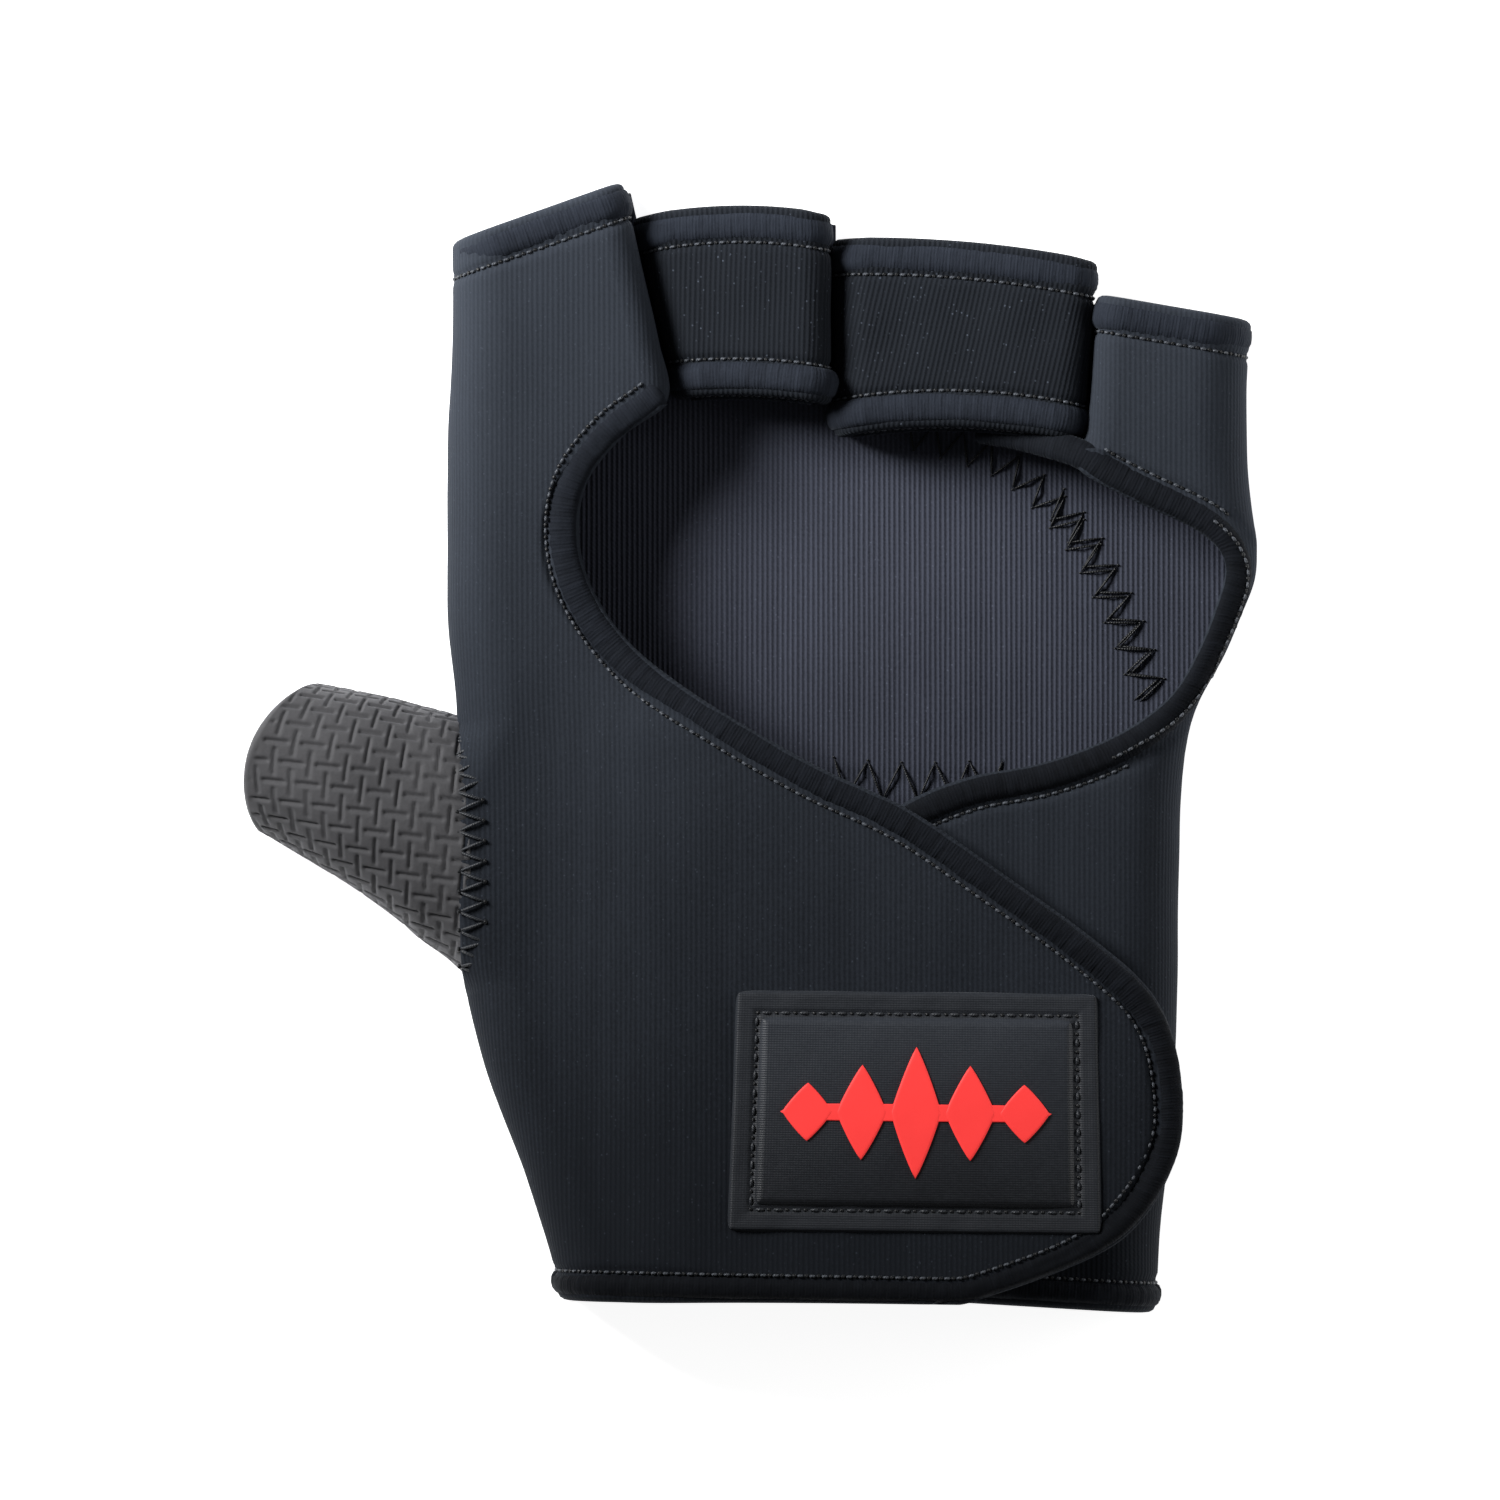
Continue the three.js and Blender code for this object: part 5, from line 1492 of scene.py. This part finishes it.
class GLOVE_OT_thumb(bpy.types.Operator):
    """Make the embossed thumb stall, open at its mouth"""
    bl_idname = "glove.thumb"
    bl_label = "Thumb stall"

    def execute(self, context):
        depth = context.scene.glove_sizes.emboss_depth / MM
        angle = thumb_angles(301)
        lip = 0.1
        rim_row = len(THUMB_ROWS) - 1 - lip
        t = np.linspace(0, rim_row, 132)
        points, across = thumb_loop(t, 0.0, angle)
        p, q = unrolled(points, across, np.argmin(np.abs(angle - np.pi / 2)))
        normals = unit(np.cross(np.gradient(points, axis=1), np.gradient(points, axis=0)))
        centre = points[:, :-1].mean(axis=1, keepdims=True)
        normals = normals * np.sign(np.sum(normals * (points - centre), axis=-1, keepdims=True))
        marks = emboss(p, q) * smooth((rim_row - t) / 0.12)[:, None]
        relief = (0.25 * ripple(p, q, 26, 2) - depth * marks) * smooth((points[..., 2] - 0.6) / 1.4)
        relief[:, -1] = relief[:, 0]
        outer = points + normals * relief[..., None]
        inner = thumb_loop(np.linspace(rim_row, 0, 26), THUMB_WALL, angle)[0]
        turns = np.linspace(0, np.pi, 9)
        edge = thumb_loop(rim_row + lip * np.sin(turns), THUMB_WALL / 2 * (1 - np.cos(turns)), angle)[0]
        edge[0], edge[-1] = outer[-1], inner[0]
        uv = np.stack([p, q], -1)
        sheets = [(outer, uv), (edge, uv[-1]), (inner, uv[0]), (np.stack([inner[-1], outer[0]]), uv[0])]
        make_piece("thumb_tube", sheets, finish_of("thumb grip"), "grip_palm", "thumb_stall")
        return {"FINISHED"}


# Stitches

def zigzag(line, ups, pitch, width, phase):
    """Starts, ends and ups of a zigzag about a line: its corners lie half a width to either side,
    half a pitch apart."""
    length = run_length(line)
    at = np.arange(phase * pitch, length[-1], pitch / 2)
    centre, up = read_along(line, length, at), unit(read_along(ups, length, at))
    travel = unit(np.gradient(centre, axis=0))
    side = unit(np.cross(travel, up)) * np.where(np.arange(len(at)) % 2, 1, -1)[:, None]
    corner = centre + side * width / 2
    return corner[:-1], corner[1:], up[:-1]


def needle_hole_shades(places, step, ups, radius):
    """Dark slits where the thread goes in, each from a step before its place to a step past it: painted shade
    in the needle holes.
    """
    return threads(places - step, places + step, ups, radius, 0, rings=5)


def line_across(face, inset, from_last=False):
    """The line across a face at an inset from its first or last section, with its normals."""
    down = face.down[-1:] - face.down if from_last else face.down
    order = np.s_[:, ::-1] if from_last else np.s_[:]
    points, normals, distance = (part.swapaxes(0, 1)[order] for part in (face.points, face.normals, down))
    return row_at(points, normals, distance, inset)


def stitched_lines():
    """Every straight stitch line, as (path, ups): beside the bindings, on the panels' faces."""
    back, little = back_face(), little_face()
    line, ups = beside_tape(edge_frames(strap_path(), -1), back)
    clear = line[:, 2] > SEAM_Z + 1
    lines = [(line[clear], ups[clear]), line_across(back, STITCH_INSET)]
    path, rolls, rows = little_path()
    frames = edge_frames(path, 1, rolls)
    line, ups = beside_tape(frames, little)
    for first, last in (UPPER_ROWS, LOWER_ROWS):
        some = (rows > first) & (rows < last)
        lines.append((line[some], ups[some]))
    seat = little_seat(frames, rows)
    line, ups = (part[:, 0] for part in seat(np.full((len(path), 1), ROLLED_INSET)))
    some = (rows > ROLLED_ROWS[0]) & (rows < ROLLED_ROWS[1])
    lines.append((line[some] + ups[some] * TAPE, ups[some]))
    lines += [line_across(little, STITCH_INSET), line_across(little, WRIST_INSET, True)]
    for which in range(len(BAND_NAMES)):
        band = band_face(which)
        lines += [line_across(band, STITCH_INSET), line_across(band, STITCH_INSET, True)]
        points, inward, normals = band_edge(which)
        line = points - inward * LIP_REACH * 0.55 - normals * (WALL - 0.25)
        tall = points[:, 2] > BAND_TOP - BAND_LEAN - 2
        lines.append((line[tall], normals[tall]))
    return lines


def thumb_seam_line():
    """The line over the thumb's seam: the back's outer edge within the arch."""
    points = end_points(back_spec(np.linspace(*THUMB_SEAM_ROWS, 500)), "left")
    keep = (points[:, 2] > SEAM_Z + 1.5) & (points[:, 1] > THUMB_ROWS[0, 3] * LENGTH + 2.5)
    return resampled(points[keep], 0.4)


class GLOVE_OT_stitches(bpy.types.Operator):
    """Make the straight stitches, their needle holes and the zigzag seams"""
    bl_idname = "glove.stitches"
    bl_label = "Stitches"

    def execute(self, context):
        sizes = context.scene.glove_sizes
        pitch = sizes.stitch_pitch / MM
        radius = sizes.thread_width / MM / 2
        rows, holes = [], []
        for path, ups in stitched_lines():
            starts, ends, up = stitch_line(path, ups, pitch)
            way = unit(ends - starts)
            lift = up * STITCH_LIFT
            rows.append(threads(starts + lift, ends + lift, up, radius, STITCH_ARCH))
            hole = ends + way * (pitch * HOLE_SHIFT)
            holes.append(needle_hole_shades(hole, way * HOLE_HALF, up, HOLE_RADIUS))
        put_threads("straight_stitches", rows, finish_of("sewing thread"))
        put_threads("stitch_hole_shades", holes, finish_of("needle holes"))
        self.zigzags(radius)
        return {"FINISHED"}

    def zigzags(self, radius):
        """The lining's two seams and the thumb's seam."""
        lining, holes = [], []
        for seam, form in ((SIDE_SEAM, SIDE_ZIGZAG), (SIDE_SEAM[3:] + 0.5, SECOND_ZIGZAG),
                           (WRIST_SEAM, WRIST_ZIGZAG)):
            line = np.column_stack([curve_through(seam, 200), np.full(200, PALM_WALL - 0.02)])
            starts, ends, ups = zigzag(line, np.broadcast_to([0, 0, 1.0], line.shape), *form)
            lining.append(threads(starts, ends, ups, radius * 0.8, 0.2, rings=9))
            holes.append(needle_hole_shades(starts, np.array([0, 0.15, 0]), ups, 0.2))
        line = thumb_seam_line() + np.array([1.3, 0, 0])
        fall = np.interp(line[:, 1], [-31, -13.5, 4], [-0.5, 0, 0.5])
        ups = unit(np.column_stack([0 * fall - 0.12, fall, np.ones(len(line))]))
        line[:, 2] = np.minimum(line[:, 2] + 0.5, back_height(line[:, 0], line[:, 1])) + 0.1
        starts, ends, ups = zigzag(line, ups, *THUMB_ZIGZAG)
        holes.append(needle_hole_shades(starts, np.array([0.3, 0, 0]), ups, 0.34))
        put_threads("zigzag_stitches", lining, finish_of("seam thread"))
        put_threads("thumb_stitches", [threads(starts, ends, ups, radius * 1.1, 0.3, rings=9)],
                    finish_of("dark thread"))
        put_threads("zigzag_hole_shades", holes, finish_of("needle holes"))


# The label and the fastener

def on_strap(points):
    """Narrowed a little towards the fingers, turned a little and carried to the label's place."""
    turn = math.radians(LABEL_TURN)
    x, y = points[..., 0] * (1 - LABEL_TAPER * points[..., 1]), points[..., 1]
    moved = points.copy()
    moved[..., 0] = x * math.cos(turn) - y * math.sin(turn) + LABEL_CENTRE[0]
    moved[..., 1] = x * math.sin(turn) + y * math.cos(turn) + LABEL_CENTRE[1]
    return moved


def border_distance(x, y, size):
    """Distance in from the nearest side of an oblong."""
    return np.minimum(size[0] / 2 - np.abs(x), size[1] / 2 - np.abs(y))


def oblong(size, low, height, columns, rows):
    """Grids of a soft oblong plate: a top whose height is a function of the place, over a flat
    bottom with the same border. The grid is closer towards its border, and the corners are drawn in
    by a high power of the place."""
    u, v = np.meshgrid(*(np.linspace(-1, 1, count) for count in (columns, rows)))
    u, v = (mix(np.sin(share * np.pi / 2), share, 0.6) for share in (u, v))
    x = u * (size[0] / 2 - CORNER_PULL * np.abs(v) ** 24)
    y = v * (size[1] / 2 - CORNER_PULL * np.abs(u) ** 24)
    z = np.full_like(x, low)
    z[1:-1, 1:-1] = height(x, y)[1:-1, 1:-1]
    uv = np.stack([x, y], -1)
    return [(on_strap(np.stack([x, y, level], -1)), uv) for level in (z, np.full_like(x, low))]


def label_height(x, y):
    """Height of the label's cloth: a rounded border with a folded edge, and a groove where it is sewn."""
    inset = border_distance(x, y, LABEL)
    rise = 0.72 * np.sqrt(smooth(inset / 0.5))
    fold = 0.05 * np.exp(-((inset - 0.9) / 0.6) ** 2)
    return LABEL_BASE + rise + fold + 0.24 * groove(inset, LABEL_SEWN, 0.4) + 0.10 * ripple(x, y, 14, 6)


class GLOVE_OT_label(bpy.types.Operator):
    """Make the sewn label with its padded middle and motif, and the hidden hook pad"""
    bl_idname = "glove.label"
    bl_label = "Label and fastener"

    def execute(self, context):
        sizes = context.scene.glove_sizes
        middle = (LABEL[0] - 2 * PAD_BORDER, LABEL[1] - 2 * PAD_BORDER)

        def cushion(x, y):
            """A steep rounded side, then a crown that is highest in the middle."""
            inset = border_distance(x, y, middle)
            crown = (1 - (2 * x / middle[0]) ** 2) * (1 - (2 * y / middle[1]) ** 2)
            swell = 0.5 * smooth(inset / 1.1) ** 0.6 + 0.7 * np.maximum(crown, 0) ** 0.8
            return PAD_BASE + 0.1 + sizes.cushion_height / MM * swell + 0.04 * ripple(x, y, 14, 9)

        def hooks(x, y):
            """Level, under the strap."""
            return BACK_TOP + GAP + HOOK_PAD[2] + 0 * x

        sheets = oblong(LABEL, LABEL_BASE, label_height, 190, 130)
        make_piece("label_cloth", sheets, finish_of("label satin"), "label_cloth", "label_base")
        sheets = oblong(middle, PAD_BASE, cushion, 150, 100)
        pad = make_piece("label_pad", sheets, finish_of("cushion satin"), "label_cloth", "label_cushion")
        self.motif(cushion)
        self.sewing(sizes.thread_width / MM / 2)
        sheets = oblong(HOOK_PAD[:2], BACK_TOP + GAP / 2, hooks, 60, 50)
        sheets = [(points + np.array([0.05 * WIDTH, 0, 0]), uv) for points, uv in sheets]
        make_piece("hook_tape_pad", sheets, finish_of("hook tape"), "hook_tape", "hook_pad")
        return {"FINISHED"}

    def motif(self, ground):
        """Five diamonds on a bar: polar grids whose rim is a superellipse, a rounded diamond or a
        rounded bar, flat on top and turned down at the rim."""
        pitch = MOTIF[0] / DIAMONDS
        shapes = [(0.0, MOTIF[0] / 2, MOTIF_BAR / 2, BAR_POWER, BAR_LOWER)]
        for place in np.arange(DIAMONDS) - (DIAMONDS - 1) / 2:
            half_y = 0.5 * MOTIF[1] * (1 - DIAMOND_SHRINK * abs(place))
            shapes.append((place * pitch, DIAMOND_HALF * pitch, half_y, DIAMOND_POWER, 0.0))
        turn = np.linspace(0, 2 * np.pi, 97)
        c, s = np.cos(turn), np.sin(turn)
        r = np.concatenate([np.linspace(0, 0.9, 12), [0.94, 0.97, 0.99, 1.0, 1.0]])[:, None]
        drop = np.concatenate([np.zeros(12), [0.02, 0.06, 0.12, 0.22, 0.6]])[:, None]
        sheets = []
        for centre, half_x, half_y, power, lower in shapes:
            edge = (np.abs(c / half_x) ** power + np.abs(s / half_y) ** power) ** (-1 / power)
            x, y = centre + r * edge * c, r * edge * s
            top = np.stack([x, y, ground(x, y) + MOTIF_PROUD - lower - drop], -1)
            bottom = top[::-1].copy()
            bottom[..., 2] = ground(bottom[..., 0], bottom[..., 1]) - MOTIF_SUNK
            closed = np.concatenate([top, bottom[1:]])
            sheets.append((on_strap(closed), closed[..., :2]))
        make_piece("label_diamonds", sheets, finish_of("label print"), "label_print", "label_motif")

    def sewing(self, radius):
        """A row of longer stitches round the label, just outside the padded middle."""
        x, y = LABEL[0] / 2 - LABEL_SEWN, LABEL[1] / 2 - LABEL_SEWN
        corners = np.array([[-x, -y], [x, -y], [x, y], [-x, y], [-x, -y]])
        rows, holes = [], []
        for a, b in zip(corners[:-1], corners[1:]):
            line = mix(a[None], b[None], np.linspace(0, 1, 60)[:, None])
            path = on_strap(np.column_stack([line, label_height(line[:, 0], line[:, 1])]))
            starts, ends, up = stitch_line(path, np.broadcast_to([0, 0, 1.0], path.shape), LABEL_STITCH)
            rows.append(threads(starts, ends, up, radius * 1.1, 0.2))
            step = unit(ends - starts) * 0.3
            holes.append(needle_hole_shades(ends + step * 1.6, step, up, 0.27))
        put_threads("label_stitches", rows, finish_of("dark thread"), "label_cloth")
        put_threads("label_hole_shades", holes, finish_of("needle holes"), "label_cloth")


# The stage

class GLOVE_OT_stage(bpy.types.Operator):
    """Make the pale floor, the soft lights and the camera that looks straight down"""
    bl_idname = "glove.stage"
    bl_label = "Stage"

    def execute(self, context):
        scene = context.scene
        mesh = bpy.data.meshes.new("floor")
        corners = [(x, y, -0.00005) for x, y in ((-3, -3), (3, -3), (3, 3), (-3, 3))]
        mesh.from_pydata(corners, [], [[0, 1, 2, 3]])
        mesh.materials.append(finish_of("floor paint"))
        floor = bpy.data.objects.new("floor", mesh)
        scene.collection.objects.link(floor)
        self.light("key", (-0.36, 0.26, 0.28), (0.02, 0.09, 0.0), 0.20, 0.6, 60)
        self.light("fill", (0.42, 0.04, 0.13), (0.06, 0.0, 0.0), 0.20, 0.5, 180)
        world = bpy.data.worlds.new("studio")
        world.use_nodes = True
        background = world.node_tree.nodes["Background"]
        background.inputs["Color"].default_value = (1.0, 1.0, 1.0, 1)
        background.inputs["Strength"].default_value = 0.07
        scene.world = world
        scene.view_settings.view_transform = "Standard"
        data = bpy.data.cameras.new("camera")
        data.sensor_width = 36
        data.lens = data.sensor_width * CAMERA_HEIGHT / FRAME_WIDTH
        camera = bpy.data.objects.new("camera", data)
        camera.location = (0, 0, CAMERA_HEIGHT)
        scene.collection.objects.link(camera)
        scene.camera = camera
        return {"FINISHED"}

    def light(self, name, place, aim, size, power, spread):
        """A square soft light that faces a point on the glove and fans out by its spread, in degrees."""
        data = bpy.data.lights.new(name, "AREA")
        data.size = size
        data.energy = power
        data.spread = math.radians(spread)
        lamp = bpy.data.objects.new(name, data)
        lamp.location = place
        direction = np.array(place) - np.array(aim)
        yaw = math.atan2(direction[1], direction[0])
        tilt = math.acos(direction[2] / np.linalg.norm(direction))
        lamp.rotation_euler = (0, tilt, yaw)
        bpy.context.scene.collection.objects.link(lamp)


class GLOVE_PT_pieces(bpy.types.Panel):
    """Lists the glove's sizes, colours and pieces"""
    bl_idname = "GLOVE_PT_pieces"
    bl_label = "Fitness glove"
    bl_space_type = "VIEW_3D"
    bl_region_type = "UI"
    bl_category = "Glove"

    def draw(self, context):
        for group in (context.scene.glove_sizes, context.scene.glove_colours):
            box = self.layout.box()
            for name in group.__annotations__:
                box.prop(group, name)
        for operator in OPERATORS:
            self.layout.operator(operator.bl_idname)


OPERATORS = (GLOVE_OT_stage, GLOVE_OT_palm, GLOVE_OT_panels, GLOVE_OT_bindings, GLOVE_OT_thumb,
             GLOVE_OT_stitches, GLOVE_OT_label)
CLASSES = (GloveSizes, GloveColours, *OPERATORS, GLOVE_PT_pieces)


def register():
    """Registers the classes and hangs both groups of properties on the scene."""
    for cls in CLASSES:
        bpy.utils.register_class(cls)
    bpy.types.Scene.glove_sizes = bpy.props.PointerProperty(type=GloveSizes)
    bpy.types.Scene.glove_colours = bpy.props.PointerProperty(type=GloveColours)


def unregister():
    """Takes both groups of properties and the classes away again."""
    del bpy.types.Scene.glove_colours
    del bpy.types.Scene.glove_sizes
    for cls in reversed(CLASSES):
        bpy.utils.unregister_class(cls)


def main():
    """Registers the add-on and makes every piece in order."""
    register()
    bpy.ops.glove.stage()
    bpy.ops.glove.palm()
    bpy.ops.glove.panels()
    bpy.ops.glove.bindings()
    bpy.ops.glove.thumb()
    bpy.ops.glove.stitches()
    bpy.ops.glove.label()


if __name__ == "__main__":
    main()
